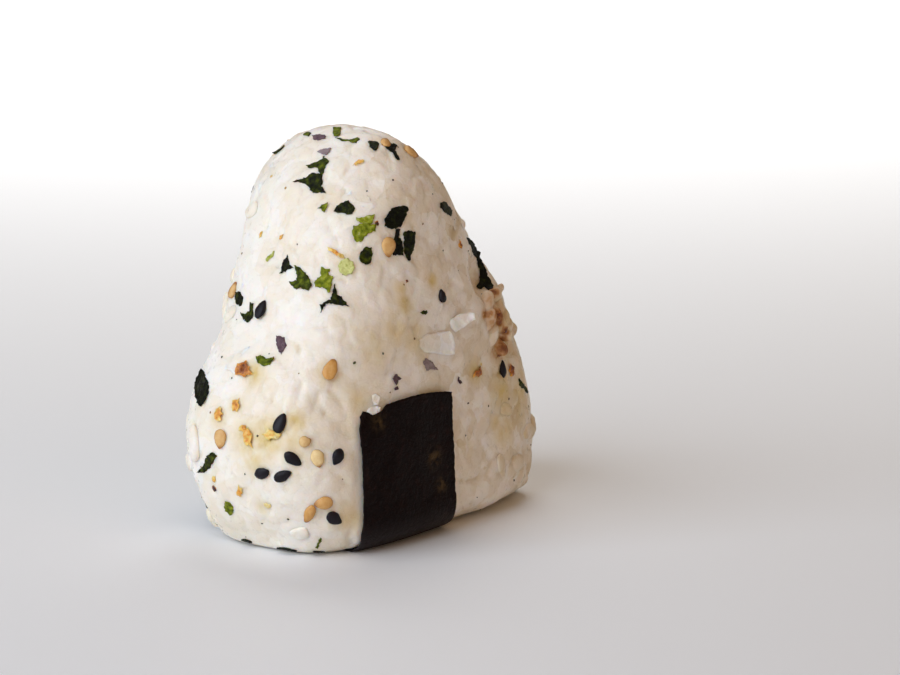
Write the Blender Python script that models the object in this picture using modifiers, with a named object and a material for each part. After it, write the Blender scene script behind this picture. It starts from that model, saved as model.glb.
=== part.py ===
"""An onigiri: rice pressed by hand into a tall rounded triangle, with a strip of nori folded
under its base and seeds, dried leaf and crumbs stuck in its surface.

It stands upright, +Z up, with its broad face towards -Y. The origin lies under the middle of
the ball, on the surface that it stands on. Lengths are in millimetres until a mesh is made.
A place on the ball is a bearing in degrees, 0 at the broad face and 90 at +X, and a height.
"""

import math
import random

import bmesh
import bpy
import numpy as np
from mathutils import Matrix, Vector, kdtree, noise

MM = 0.001
SEED = 7

# Level sections of the ball: height, half width, half depth, shift in X, shift in Y
SECTIONS = np.array(
    (
        (0.0, 0.0, 0.0, 1.0, -1.0),
        (0.0, 16.0, 8.5, 1.0, -1.0),
        (0.0, 30.5, 13.8, 1.0, -0.8),
        (3.5, 34.5, 19.2, 1.0, -1.2),
        (10.0, 37.5, 20.0, 0.5, -0.5),
        (20.0, 38.5, 20.5, 0.0, 0.5),
        (31.0, 34.5, 20.0, 0.0, 0.5),
        (42.0, 28.5, 19.0, -0.5, -0.5),
        (52.0, 22.5, 18.0, -2.0, 0.5),
        (61.0, 17.5, 17.0, -3.0, 1.0),
        (67.5, 12.0, 14.0, -3.5, 1.5),
        (72.0, 6.0, 8.5, -4.0, 1.5),
        (73.5, 0.0, 0.0, -4.0, 1.5),
    )
)
BASE_SECTIONS = 2
HEIGHT = SECTIONS[-1, 0]
BASE_SQUARENESS = 3.5
CROWN_SQUARENESS = 2.1
RINGS = 150
COLUMNS = 240
SPAN_STEPS = 24

# Dents and swellings that the fingers left: bearing, height, reach, push outwards
PRESSED = (
    (-118, 14.5, 4, 0.5),
    (-118, 6, 6, -2.2),
    (-122, 35, 5, -1.4),
    (-126, 24, 4, -0.8),
    (-140, 52, 8, -0.6),
    (41, 45.5, 6, -3.0),
    (56, 31, 5, -1.6),
    (-60, 40, 9, 0.5),
    (-62, 26, 8, -0.5),
    (130, 34, 10, 0.8),
    (165, 50, 9, -0.7),
    (95, 18, 9, -0.8),
)
UNEVEN_HEIGHT = 0.45
UNEVEN_REACH = 11.0

GRAIN_LENGTH = 6.2
GRAIN_WIDTH = 3.0
GRAIN_PROUD = 1.05
GRAIN_SPACING = 2.9
GRAIN_TRIES = 9000
BASE_FADE = 2.5
BODY_TRIANGLES = 5800

# Nori: a strip down the front, under the base, where it runs askew, and a little way up the back
NORI_WIDTH = 24.5
NORI_CENTRE = -13.6
NORI_THICKNESS = 0.4
NORI_GAP = 0.3
NORI_FRONT_HEIGHT = 25.9
NORI_FRONT_ARCH = 1.3
NORI_FRONT_TILT = 0.35
NORI_BACK_HEIGHT = 13.0
NORI_DRIFT = 2.5
NORI_DRIFT_HEIGHT = 5.0
NORI_WAVE = 0.18
NORI_WAVE_REACH = 5.0
NORI_EDGE_LIFT = 0.25
NORI_FREE_FROM = 2.0
NORI_FREE_OVER = 5.0
NORI_COLUMNS = 13
NORI_FRONT_ROWS = 18
NORI_BASE_ROWS = 14
NORI_BACK_ROWS = 10
NORI_CLEARANCE = 1.2
RECESS = NORI_THICKNESS + NORI_GAP
# The widest share of the ball's half width at which its broad faces are still measured
FACE_LIMIT = 0.995

# Toppings on the sides that are seen: bearing, height, length, width, turn from upright
BLACK_SESAME = (
    (-94, 43, 3.6, 2.1, 10),
    (-76, 25, 3.8, 2.2, 20),
    (-72, 19, 3.6, 2.1, 125),
    (-75, 16, 3.5, 2.0, 63),
    (-81, 16, 3.3, 2.1, 65),
    (-61, 19, 3.2, 2.3, 215),
    (-64, 8, 3.5, 2.2, 125),
    (-6, 44, 2.5, 1.7, 5),
    (44, 27, 3.5, 1.7, -3),
)
GOLDEN_SESAME = (
    (-115, 45, 3.4, 2.1, 20),
    (-36, 54, 3.7, 2.7, 190),
    (14, 69, 3.2, 2.2, 150),
    (-9, 71, 2.6, 2.0, 40),
    (-64, 34, 4.0, 2.5, 25),
    (-94, 21, 3.5, 2.5, 180),
    (-69, 22, 2.2, 2.0, 80),
    (-66, 19, 3.3, 2.4, 170),
    (-66, 11, 3.4, 2.3, 265),
    (-70, 9, 3.7, 1.9, 203),
)
LEAF_FLAKES = (
    (-138, 72, 3.0, 1.8, 80),
    (-104, 72, 3.2, 1.6, 95),
    (-42, 72, 3.2, 2.0, 80),
    (-22, 71, 4.2, 2.2, 115),
    (-7, 70, 3.6, 2.6, 140),
    (-78, 70, 2.8, 1.5, 95),
    (-74, 68, 2.8, 2.2, 30),
    (-77, 65, 5.2, 3.6, 110),
    (-56, 61, 3.8, 2.6, 95),
    (-28, 59, 4.6, 4.0, 20),
    (-31, 54, 3.4, 2.8, 10),
    (-22, 54, 5.4, 2.4, 5),
    (-48, 53, 3.2, 2.6, 170),
    (-86, 51, 3.0, 2.6, 120),
    (-78, 49, 4.2, 3.4, 125),
    (-68, 49, 4.2, 3.2, 15),
    (-48, 57, 4.2, 3.0, 70),
    (-64, 46, 4.8, 3.2, 150),
    (20, 59, 3.2, 2.4, 110),
    (-108, 44, 3.0, 2.2, 30),
    (-100, 42, 3.0, 2.8, 60),
    (-112, 28, 7.0, 5.0, 5),
    (-86, 35, 3.8, 2.2, 105),
    (-100, 16, 5.0, 3.0, 40),
    (-96, 8, 3.0, 2.0, 10),
    (38, 51, 5.5, 3.6, -15),
    (40, 47, 4.5, 3.2, -25),
    (42, 44, 3.4, 3.0, 10),
    (62, 21, 4.6, 3.4, 0),
    (-82, 38, 2.8, 1.6, 0),
    (-18, 32, 3.0, 2.2, 135),
)
CRUMBS = (
    (-92, 33, 2.8, 2.2, 100),
    (-91, 27, 1.9, 1.7, 0),
    (-96, 25, 2.6, 1.7, 160),
    (-85, 22, 3.2, 1.7, 160),
    (-78, 23, 3.0, 1.9, 80),
    (22, 28, 3.4, 1.6, 100),
    (51, 26, 1.9, 1.7, 0),
    (45, 30, 3.0, 2.2, 20),
    (42, 40, 4.0, 3.2, 30),
    (48, 37, 4.4, 3.4, 0),
    (53, 34, 4.2, 3.4, 60),
    (50, 42, 3.2, 1.8, 40),
)
# The sides that are not seen carry as many, spread by a rule
HIDDEN_SEED = 11
HIDDEN_BEARINGS = (68, 212)
HIDDEN_HEIGHTS = (5, 71)
HIDDEN_APART = 7.0
HIDDEN_TRIES = 160
HIDDEN_SHARES = (("black", 0.16), ("golden", 0.36), ("leaf", 0.78), ("crumb", 1.0))
HIDDEN_LENGTHS = (2.8, 3.6)
HIDDEN_LEAF_LENGTHS = (2.8, 5.0)
HIDDEN_SLENDERNESS = (0.58, 0.75)

SEED_THICKNESS = 1.3
SEED_PROUD = 0.15
SEED_NARROWING = 0.7
FLAKE_THICKNESS = 1.0
FLAKE_PROUD = 0.05
FLAKE_CORNERS = (5, 7)
FLAKE_TEAR = 0.28
FLAKE_TOP = 0.92
CRUMB_PROUD = 0.3
CRUMB_UNEVEN = (0.85, 1.15)
LOWEST_TOPPING = 0.2
LOOK_FROM = 8.0
# A normal is as good as vertical when less than this of the upright is left across it
NEARLY_LEVEL = 0.05


def clear_scene():
    for thing in list(bpy.data.objects):
        bpy.data.objects.remove(thing)


def new_collection(name):
    collection = bpy.data.collections.new(name)
    bpy.context.scene.collection.children.link(collection)
    return collection


def new_material(name, colour, roughness):
    material = bpy.data.materials.new(name)
    material.use_nodes = True
    shader = material.node_tree.nodes["Principled BSDF"]
    shader.inputs["Base Color"].default_value = (*colour, 1.0)
    shader.inputs["Roughness"].default_value = roughness
    shader.inputs["Metallic"].default_value = 0.0
    return material


def ball_outline():
    """The sections joined by one smooth curve, from the middle of the base to the crown."""
    beyond = (1, -1, -1, 1, 1)
    rows = np.vstack((SECTIONS[1] * beyond, SECTIONS, SECTIONS[-2] * beyond))
    t = np.linspace(0, 1, SPAN_STEPS, endpoint=False)[:, None]
    spans = [
        (2 * b + (c - a) * t + (2 * a - 5 * b + 4 * c - d) * t**2 + (3 * b - a - 3 * c + d) * t**3) / 2
        for a, b, c, d in zip(rows, rows[1:], rows[2:], rows[3:])
    ]
    outline = np.vstack(spans + [SECTIONS[-1:]])
    outline[:, 0] = np.maximum(outline[:, 0], 0)
    return outline


OUTLINE = ball_outline()
SIDE = OUTLINE[BASE_SECTIONS * SPAN_STEPS :]


def section_at(height):
    """Half width, half depth and shifts of the ball at a height."""
    rising = np.maximum.accumulate(SIDE[:, 0])
    return [np.interp(height, rising, SIDE[:, k]) for k in (1, 2, 3, 4)]


def squareness(height):
    return BASE_SQUARENESS + (CROWN_SQUARENESS - BASE_SQUARENESS) * height / HEIGHT


def radius_towards(half_width, half_depth, power, bearing):
    """The reach of a rounded rectangle towards a bearing, given in radians."""
    across = abs(math.sin(bearing)) / half_width
    along = abs(math.cos(bearing)) / half_depth
    return (across**power + along**power) ** (-1 / power)


def on_ball(bearing, height):
    """The point of the smooth ball at a bearing in degrees and a height."""
    half_width, half_depth, shift_x, shift_y = section_at(height)
    angle = math.radians(bearing)
    reach = radius_towards(half_width, half_depth, squareness(height), angle)
    return Vector((shift_x + reach * math.sin(angle), shift_y - reach * math.cos(angle), height))


def outward(bearing, height):
    """The direction straight out of the smooth ball there."""
    step = 1.0
    level = on_ball(bearing + step, height) - on_ball(bearing - step, height)
    low, high = max(height - step, 0.0), min(height + step, HEIGHT - 0.1)
    rise = on_ball(bearing, high) - on_ball(bearing, low)
    return level.cross(rise).normalized()


def face_reach(x, height, side):
    """How far the ball reaches in Y at a width x, at the front for side -1 or the back for 1."""
    half_width, half_depth, shift_x, shift_y = section_at(height)
    power = squareness(height)
    share = min(abs((x - shift_x) / half_width), FACE_LIMIT)
    return shift_y + side * half_depth * (1 - share**power) ** (1 / power)


def smooth_step(value):
    value = min(max(value, 0.0), 1.0)
    return value * value * (3 - 2 * value)


def nori_drift(height):
    """How far the strip has run askew to +X where it turns under the base."""
    return NORI_DRIFT * (1 - smooth_step(height / NORI_DRIFT_HEIGHT))


def beyond_nori(point):
    """How far a point lies beside the strip, less than 0 where it lies within its width."""
    return abs(point.x - NORI_CENTRE - nori_drift(point.z)) - NORI_WIDTH / 2


def under_nori(point, margin):
    """1 where the strip covers the ball, falling to 0 over the margin round it."""
    limit = NORI_FRONT_HEIGHT + NORI_FRONT_ARCH if point.y < 0 else NORI_BACK_HEIGHT
    outside = max(beyond_nori(point), point.z - limit)
    return 1 - smooth_step((outside - margin / 2) / margin)


def press_marks():
    """Each dent or swelling as its middle, reach and push."""
    return [(on_ball(bearing, height), reach, push) for bearing, height, reach, push in PRESSED]


def hand_pressed(point, marks):
    """How far the hand left the surface out of true there."""
    out = UNEVEN_HEIGHT * noise.noise(point / UNEVEN_REACH)
    for middle, reach, push in marks:
        out += push * math.exp(-((point - middle).length_squared) / (reach * reach / 2))
    return out


def loft_ball():
    """The smooth ball as rings of even spacing, closed by a point at each end."""
    steps = np.linalg.norm(np.diff(OUTLINE[:, :3], axis=0), axis=1)
    along = np.concatenate(((0.0,), np.cumsum(steps)))
    marks = np.linspace(0, along[-1], RINGS + 2)
    rings = np.stack([np.interp(marks, along, OUTLINE[:, k]) for k in range(5)], axis=1)
    widest = SECTIONS[:, 1].max()
    deepest = SECTIONS[:, 2].max()
    turns = np.linspace(0, 2 * math.pi, COLUMNS, endpoint=False)
    bearings = np.arctan2(widest * np.sin(turns), deepest * np.cos(turns))
    mesh = bmesh.new()
    foot = mesh.verts.new((rings[0, 3], rings[0, 4], 0.0))
    levels = []
    for height, half_width, half_depth, shift_x, shift_y in rings[1:-1]:
        power = squareness(height)
        level = []
        for bearing in bearings:
            reach = radius_towards(half_width, half_depth, power, bearing)
            x = shift_x + reach * math.sin(bearing)
            y = shift_y - reach * math.cos(bearing)
            level.append(mesh.verts.new((x, y, height)))
        levels.append(level)
    crown = mesh.verts.new((rings[-1, 3], rings[-1, 4], HEIGHT))
    for k in range(COLUMNS):
        after = (k + 1) % COLUMNS
        mesh.faces.new((foot, levels[0][after], levels[0][k]))
        mesh.faces.new((crown, levels[-1][k], levels[-1][after]))
        for lower, upper in zip(levels, levels[1:]):
            mesh.faces.new((lower[k], lower[after], upper[after], upper[k]))
    bmesh.ops.recalc_face_normals(mesh, faces=mesh.faces)
    mesh.normal_update()
    return mesh


def grain_relief(mesh, draw):
    """The height of the rice grains over each vertex: rounded grains laid any way round."""
    tree = kdtree.KDTree(len(mesh.verts))
    for vertex in mesh.verts:
        tree.insert(vertex.co, vertex.index)
    tree.balance()
    relief = [0.0] * len(mesh.verts)
    grains = {}
    for _ in range(GRAIN_TRIES):
        vertex = mesh.verts[draw.randrange(len(mesh.verts))]
        cell = tuple(int(c // GRAIN_SPACING) for c in vertex.co)
        grains.setdefault(cell, vertex)
    for vertex in grains.values():
        side = vertex.normal.orthogonal().normalized()
        side.rotate(Matrix.Rotation(draw.uniform(0, math.pi), 3, vertex.normal))
        across = vertex.normal.cross(side)
        size = draw.uniform(0.85, 1.15)
        proud = GRAIN_PROUD * draw.uniform(0.55, 1.0)
        for place, index, _ in tree.find_range(vertex.co, GRAIN_LENGTH * size / 2):
            offset = place - vertex.co
            a = offset.dot(side) / (GRAIN_LENGTH * size / 2)
            b = offset.dot(across) / (GRAIN_WIDTH * size / 2)
            inside = 1 - a * a - b * b
            if inside > 0:
                relief[index] = max(relief[index], proud * math.sqrt(inside))
    return relief


def build_rice(draw):
    """The ball with its grains and finger marks, flat underneath and recessed for the nori."""
    mesh = loft_ball()
    mesh.verts.ensure_lookup_table()
    mesh.verts.index_update()
    relief = grain_relief(mesh, draw)
    middle = sum(relief) / len(relief)
    marks = press_marks()
    moves = []
    for vertex in mesh.verts:
        free = smooth_step(vertex.co.z / BASE_FADE)
        free *= 1 - under_nori(vertex.co, NORI_CLEARANCE)
        push = relief[vertex.index] - middle + hand_pressed(vertex.co, marks)
        moves.append(vertex.normal * (free * push))
    for vertex, move in zip(mesh.verts, moves):
        vertex.co += move
        covered = beyond_nori(vertex.co) < NORI_CLEARANCE
        vertex.co.z = max(vertex.co.z, RECESS if covered else 0.0)
        vertex.co *= MM
    bmesh.ops.triangulate(mesh, faces=mesh.faces)
    data = bpy.data.meshes.new("rice_ball")
    mesh.to_mesh(data)
    mesh.free()
    return bpy.data.objects.new("rice_ball", data)


def apply_modifiers(thing):
    """Replaces the object's mesh by what its modifiers make of it."""
    bpy.context.view_layer.update()
    graph = bpy.context.evaluated_depsgraph_get()
    made = bpy.data.meshes.new_from_object(thing.evaluated_get(graph))
    thing.modifiers.clear()
    thing.data = made
    bpy.context.view_layer.update()


def seed_mesh(length, width, thickness):
    """A flat teardrop, its point towards +Y."""
    mesh = bmesh.new()
    bmesh.ops.create_uvsphere(mesh, u_segments=6, v_segments=4, radius=0.5)
    bmesh.ops.rotate(mesh, verts=mesh.verts, matrix=Matrix.Rotation(-math.pi / 2, 3, "X"))
    for vertex in mesh.verts:
        narrowing = 1 - SEED_NARROWING * vertex.co.y
        vertex.co.x *= width * narrowing
        vertex.co.y *= length
        vertex.co.z *= thickness * narrowing
    return mesh


def flake_mesh(length, width, thickness, draw):
    """A torn bit of leaf, flat, with five to seven uneven corners."""
    mesh = bmesh.new()
    corners = draw.randint(*FLAKE_CORNERS)
    bmesh.ops.create_cone(
        mesh,
        cap_ends=True,
        cap_tris=True,
        segments=corners,
        radius1=0.5,
        radius2=0.5 * FLAKE_TOP,
        depth=1.0,
    )
    phase = draw.uniform(0, math.tau)
    waves = draw.choice((2, 3))
    for vertex in mesh.verts:
        angle = math.atan2(vertex.co.y, vertex.co.x)
        torn = 1 + FLAKE_TEAR * math.sin(waves * angle + phase)
        vertex.co.x *= width * torn
        vertex.co.y *= length * torn
        vertex.co.z *= thickness
    return mesh


def crumb_mesh(length, width, thickness, draw):
    """A small uneven lump."""
    mesh = bmesh.new()
    bmesh.ops.create_icosphere(mesh, subdivisions=1, radius=0.5)
    for vertex in mesh.verts:
        uneven = draw.uniform(*CRUMB_UNEVEN)
        vertex.co.x *= width * uneven
        vertex.co.y *= length * uneven
        vertex.co.z *= thickness * uneven
    return mesh


def on_rice(rice, point, normal):
    """The place on the finished rice under a point of the smooth ball."""
    found, location, _, _ = rice.ray_cast((point + normal * LOOK_FROM) * MM, -normal)
    return location / MM if found else point


def stick_on(rice, collection, mesh, place, proud, limp):
    """Lays a topping on the rice, turned clockwise from upright. A limp one follows the grains."""
    bearing, height, turn = place
    normal = outward(bearing, height)
    middle = on_rice(rice, on_ball(bearing, height), normal)
    upright = Vector((0, 0, 1)) - normal * normal.z
    if upright.length < NEARLY_LEVEL:
        upright = Vector((0, 1, 0))
    upright.normalize()
    upright.rotate(Matrix.Rotation(-math.radians(turn), 3, normal))
    side = upright.cross(normal)
    frame = Matrix((side, upright, normal)).transposed()
    for vertex in mesh.verts:
        rise = vertex.co.z + proud
        foot = middle + frame @ Vector((vertex.co.x, vertex.co.y, 0))
        if limp:
            foot = on_rice(rice, foot, normal)
        vertex.co = foot + normal * rise
        vertex.co.z = max(vertex.co.z, LOWEST_TOPPING)
        vertex.co *= MM
    bmesh.ops.recalc_face_normals(mesh, faces=mesh.faces)
    data = bpy.data.meshes.new("topping")
    mesh.to_mesh(data)
    mesh.free()
    collection.objects.link(bpy.data.objects.new("topping", data))


def topping_mesh(kind, length, width, draw):
    """A topping's mesh and how far its middle stands above the rice."""
    if kind in ("black", "golden"):
        return seed_mesh(length, width, SEED_THICKNESS), SEED_PROUD
    if kind == "leaf":
        return flake_mesh(length, width, FLAKE_THICKNESS, draw), FLAKE_PROUD
    return crumb_mesh(length, width, width, draw), CRUMB_PROUD


def hidden_toppings(draw):
    """Toppings for the sides that are not seen, kept apart from each other and from the nori."""
    chosen = []
    places = []
    for _ in range(HIDDEN_TRIES):
        bearing = draw.uniform(*HIDDEN_BEARINGS)
        height = draw.uniform(*HIDDEN_HEIGHTS)
        pick = draw.random()
        kind = next(name for name, limit in HIDDEN_SHARES if pick < limit)
        length = draw.uniform(*(HIDDEN_LEAF_LENGTHS if kind == "leaf" else HIDDEN_LENGTHS))
        width = length * draw.uniform(*HIDDEN_SLENDERNESS)
        turn = draw.uniform(0, 360)
        point = on_ball(bearing, height)
        if under_nori(point, 2 * length) > 0:
            continue
        if any((point - other).length < HIDDEN_APART for other in places):
            continue
        places.append(point)
        chosen.append((kind, (bearing, height, length, width, turn)))
    return chosen


def add_toppings(rice, draw):
    """Fuses the seeds, leaf and crumbs to the rice by one union."""
    collection = new_collection("toppings")
    seen = (("black", BLACK_SESAME), ("golden", GOLDEN_SESAME), ("leaf", LEAF_FLAKES), ("crumb", CRUMBS))
    rows = [(kind, row) for kind, group in seen for row in group]
    rows += hidden_toppings(random.Random(HIDDEN_SEED))
    for kind, (bearing, height, length, width, turn) in rows:
        mesh, proud = topping_mesh(kind, length, width, draw)
        stick_on(rice, collection, mesh, (bearing, height, turn), proud, kind == "leaf")
    union = rice.modifiers.new("toppings", "BOOLEAN")
    union.operation = "UNION"
    union.operand_type = "COLLECTION"
    union.collection = collection
    union.solver = "EXACT"
    apply_modifiers(rice)
    for topping in list(collection.objects):
        bpy.data.objects.remove(topping)
    bpy.data.collections.remove(collection)


def keep_main_shell(thing):
    """Drops loose scraps and fills sealed hollows: only the largest closed surface stays."""
    mesh = bmesh.new()
    mesh.from_mesh(thing.data)
    unseen = set(mesh.verts)
    shells = []
    while unseen:
        stack = [unseen.pop()]
        shell = set(stack)
        while stack:
            for edge in stack.pop().link_edges:
                for vertex in edge.verts:
                    if vertex in unseen:
                        unseen.remove(vertex)
                        shell.add(vertex)
                        stack.append(vertex)
        shells.append(shell)
    shells.sort(key=len)
    for shell in shells[:-1]:
        bmesh.ops.delete(mesh, geom=list(shell), context="VERTS")
    mesh.to_mesh(thing.data)
    mesh.free()


def nori_rows(x):
    """The rice surface that the strip follows at a width x: down the front, under, up the back."""
    aside = (x - NORI_CENTRE) / (NORI_WIDTH / 2)
    front_top = NORI_FRONT_HEIGHT + NORI_FRONT_ARCH * (1 - aside * aside) + NORI_FRONT_TILT * aside
    path = []
    for height in np.linspace(front_top, RECESS, NORI_FRONT_ROWS):
        across = x + nori_drift(height)
        path.append(Vector((across, face_reach(across, height, -1), height)))
    under = x + nori_drift(RECESS)
    front = face_reach(under, RECESS, -1)
    back = face_reach(under, RECESS, 1)
    for y in np.linspace(front, back, NORI_BASE_ROWS)[1:-1]:
        path.append(Vector((under, y, RECESS)))
    for height in np.linspace(RECESS, NORI_BACK_HEIGHT, NORI_BACK_ROWS):
        across = x + nori_drift(height)
        path.append(Vector((across, face_reach(across, height, 1), height)))
    return path


def build_nori():
    """The strip: a sheet that stands off the rice by the gap, wavy where it is free."""
    half = NORI_WIDTH / 2
    columns = [nori_rows(x) for x in np.linspace(NORI_CENTRE - half, NORI_CENTRE + half, NORI_COLUMNS)]
    mesh = bmesh.new()
    grid = [[mesh.verts.new(point) for point in column] for column in columns]
    for left, right in zip(grid, grid[1:]):
        for k in range(len(left) - 1):
            mesh.faces.new((left[k], left[k + 1], right[k + 1], right[k]))
    mesh.normal_update()
    if sum(face.normal.z for face in mesh.faces if face.calc_center_median().z < 2 * RECESS) > 0:
        bmesh.ops.reverse_faces(mesh, faces=mesh.faces)
        mesh.normal_update()
    moves = []
    for vertex in mesh.verts:
        free = smooth_step((vertex.co.z - NORI_FREE_FROM) / NORI_FREE_OVER)
        aside = 1 + beyond_nori(vertex.co) / half
        wave = NORI_WAVE * (1 + noise.noise(vertex.co / NORI_WAVE_REACH))
        lift = wave + NORI_EDGE_LIFT * aside**6
        moves.append(vertex.normal * (NORI_GAP + NORI_THICKNESS / 2 + free * lift))
    for vertex, move in zip(mesh.verts, moves):
        vertex.co = (vertex.co + move) * MM
        vertex.co.z = max(vertex.co.z, NORI_THICKNESS / 2 * MM)
    bmesh.ops.triangulate(mesh, faces=mesh.faces)
    data = bpy.data.meshes.new("nori_strip")
    mesh.to_mesh(data)
    mesh.free()
    strip = bpy.data.objects.new("nori_strip", data)
    sheet = strip.modifiers.new("thickness", "SOLIDIFY")
    sheet.thickness = NORI_THICKNESS * MM
    sheet.offset = 0.0
    sheet.use_even_offset = True
    return strip


def main():
    clear_scene()
    draw = random.Random(SEED)
    onigiri = new_collection("onigiri")
    rice = build_rice(draw)
    onigiri.objects.link(rice)
    thin = rice.modifiers.new("fewer_faces", "DECIMATE")
    thin.ratio = BODY_TRIANGLES / len(rice.data.polygons)
    apply_modifiers(rice)
    for vertex in rice.data.vertices:
        vertex.co.z = max(vertex.co.z, 0.0)
    add_toppings(rice, draw)
    keep_main_shell(rice)
    rice.data.materials.clear()
    rice.data.materials.append(new_material("rice", (0.76, 0.67, 0.55), 0.45))
    rice.data.shade_smooth()
    strip = build_nori()
    strip.data.materials.append(new_material("nori", (0.010, 0.007, 0.006), 0.6))
    onigiri.objects.link(strip)


main()
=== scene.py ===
import math
import random

import bpy
import numpy as np
from mathutils import Matrix, Vector, geometry, noise
from mathutils.bvhtree import BVHTree
from mathutils.kdtree import KDTree


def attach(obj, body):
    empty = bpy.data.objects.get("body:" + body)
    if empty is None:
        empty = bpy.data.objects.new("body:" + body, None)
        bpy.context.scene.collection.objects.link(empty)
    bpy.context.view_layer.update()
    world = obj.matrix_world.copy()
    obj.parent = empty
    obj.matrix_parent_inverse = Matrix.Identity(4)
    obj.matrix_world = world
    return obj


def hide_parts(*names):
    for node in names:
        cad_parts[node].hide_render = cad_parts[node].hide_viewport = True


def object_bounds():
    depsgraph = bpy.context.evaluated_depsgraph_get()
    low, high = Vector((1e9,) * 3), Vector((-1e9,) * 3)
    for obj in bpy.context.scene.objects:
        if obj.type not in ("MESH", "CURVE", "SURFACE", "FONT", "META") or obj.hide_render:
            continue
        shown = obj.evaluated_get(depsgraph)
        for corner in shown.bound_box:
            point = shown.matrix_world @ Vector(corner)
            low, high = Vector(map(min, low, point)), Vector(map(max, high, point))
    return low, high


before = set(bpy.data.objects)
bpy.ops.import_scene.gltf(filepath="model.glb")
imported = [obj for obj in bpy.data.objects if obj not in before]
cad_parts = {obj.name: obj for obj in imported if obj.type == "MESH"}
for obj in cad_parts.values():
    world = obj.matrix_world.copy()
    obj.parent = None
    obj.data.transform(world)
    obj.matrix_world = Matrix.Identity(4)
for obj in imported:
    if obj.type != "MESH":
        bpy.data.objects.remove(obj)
cad_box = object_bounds()

# Pressed rice
# Short-grain rice, cooked sticky, pressed by hand into a tall rounded triangle, about 130 g.
# Its outer grains are squeezed flat and half fused, so it is one skin with the grains in relief.
# Lengths are in millimetres, and a place is a bearing, 0 at the broad face and 90 at +X, and a height.
MM = 0.001
SEED = 7
# Level sections of the ball: height, half width, half depth, shift in X, shift in Y
SECTIONS = np.array(
    (
        (0.0, 0.0, 0.0, 1.0, -1.0),
        (0.0, 16.0, 8.5, 1.0, -1.0),
        (0.0, 30.5, 13.8, 1.0, -0.8),
        (3.5, 34.5, 19.2, 1.0, -1.2),
        (10.0, 37.5, 20.0, 0.5, -0.5),
        (20.0, 38.5, 20.5, 0.0, 0.5),
        (31.0, 34.5, 20.0, 0.0, 0.5),
        (42.0, 28.5, 19.0, -0.5, -0.5),
        (52.0, 22.5, 18.0, -2.0, 0.5),
        (61.0, 17.5, 17.0, -3.0, 1.0),
        (67.5, 12.0, 14.0, -3.5, 1.5),
        (72.0, 6.0, 8.5, -4.0, 1.5),
        (73.5, 0.0, 0.0, -4.0, 1.5),
    )
)
BASE_SECTIONS = 2
HEIGHT = SECTIONS[-1, 0]
BASE_SQUARENESS = 3.5
CROWN_SQUARENESS = 2.1
SPAN_STEPS = 24
BASE_RINGS = 22
SIDE_RINGS = 200
COLUMNS = 416

# Dents and swellings that the fingers left: bearing, height, reach, push outwards
PRESSED = (
    (-118, 14.5, 4, 0.5),
    (-118, 6, 6, -2.2),
    (-122, 35, 5, -1.4),
    (-126, 24, 4, -0.8),
    (-140, 52, 8, -0.6),
    (41, 45.5, 6, -3.0),
    (45, 45.0, 6, -1.8),
    (56, 31, 5, -1.6),
    (-60, 40, 9, 0.5),
    (-62, 26, 8, -0.5),
    (130, 34, 10, 0.8),
    (165, 50, 9, -0.7),
    (95, 18, 9, -0.8),
)
UNEVEN_HEIGHT = 0.45
UNEVEN_REACH = 11.0
# The fused grains: their size and its spread, how proud and how slanted they are, how blunt their ends
GRAIN_LENGTH = 6.4
GRAIN_WIDTH = 3.8
GRAIN_SPREAD = (0.8, 1.15)
GRAIN_BLUNTNESS = 2.4
FUSED_PROUD = 0.75
FUSED_SPREAD = (0.35, 1.0)
FUSED_LEAN = 0.2
FUSED_SPACING = 2.2
FUSED_TRIES = 16000
# Rice lower than this share of the mean relief is the gap between grains, painted darker and yellower:
# partly its own colour there, partly painted shade in the hollows
GAP_SHARE = 0.75
# The relief fades out over this height at the base
BASE_FADE = 2.5
# The strip of nori that the rice is pressed under, and the recess that it leaves
NORI_WIDTH = 24.5
NORI_CENTRE = -13.6
NORI_FRONT_HEIGHT = 25.9
NORI_FRONT_ARCH = 1.3
NORI_BACK_HEIGHT = 13.0
NORI_DRIFT = 2.5
NORI_DRIFT_HEIGHT = 5.0
NORI_CLEARANCE = 1.2
NORI_THICKNESS = 0.4
NORI_GAP = 0.3
RECESS = NORI_THICKNESS + NORI_GAP
# The X from which the rice takes painted shade, and over what length painted shade turns its creamy grains
# darker and warmer towards +X, away from the window
SHADE_FROM_X = -20.0
SHADE_OVER = 28.0

# Seasoning that seeped into the rice: bearing, height, reach, strength
STAINS = (
    (-72, 25.4, 1.8, 0.9),
    (-64, 33.4, 2.2, 0.5),
    (-34, 43.8, 1.8, 0.9),
    (-34, 46.5, 1.4, 0.7),
    (-10, 47.0, 1.6, 0.8),
    (-40, 39.8, 4.0, 0.5),
    (-30, 37.6, 3.4, 0.5),
    (-50, 37.4, 4.0, 0.4),
    (-54, 28.2, 2.6, 0.5),
    (36, 17.4, 1.8, 0.7),
    (44, 15.4, 1.5, 0.6),
    (-88, 32.6, 2.4, 0.8),
    (-91, 27.0, 1.6, 0.7),
    (-96, 24.6, 1.8, 0.7),
    (-85, 21.5, 3.4, 0.75),
    (-79, 22.6, 3.6, 0.9),
    (-83, 17.8, 2.6, 0.7),
    (-72, 21.0, 3.0, 0.6),
    (-60, 7.6, 2.6, 0.6),
    (22, 28.0, 2.2, 0.9),
    (44, 31.0, 4.0, 0.9),
    (46, 37.0, 4.0, 0.8),
    (41, 23.4, 4.2, 0.8),
    (54, 21.5, 5.0, 0.7),
    (40, 15.5, 3.5, 0.6),
    (-84, 9.4, 1.4, 0.4),
    (-58, 51.4, 1.6, 0.5),
    (-63, 62.0, 2.6, 0.3),
    (-18, 25.0, 3.0, 0.3),
    (6, 12.0, 5.0, 0.2),
    (120, 40.0, 4.0, 0.5),
    (150, 20.0, 5.0, 0.5),
    (176, 56.0, 3.0, 0.5),
    (100, 25.0, 4.0, 0.4),
)


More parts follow.
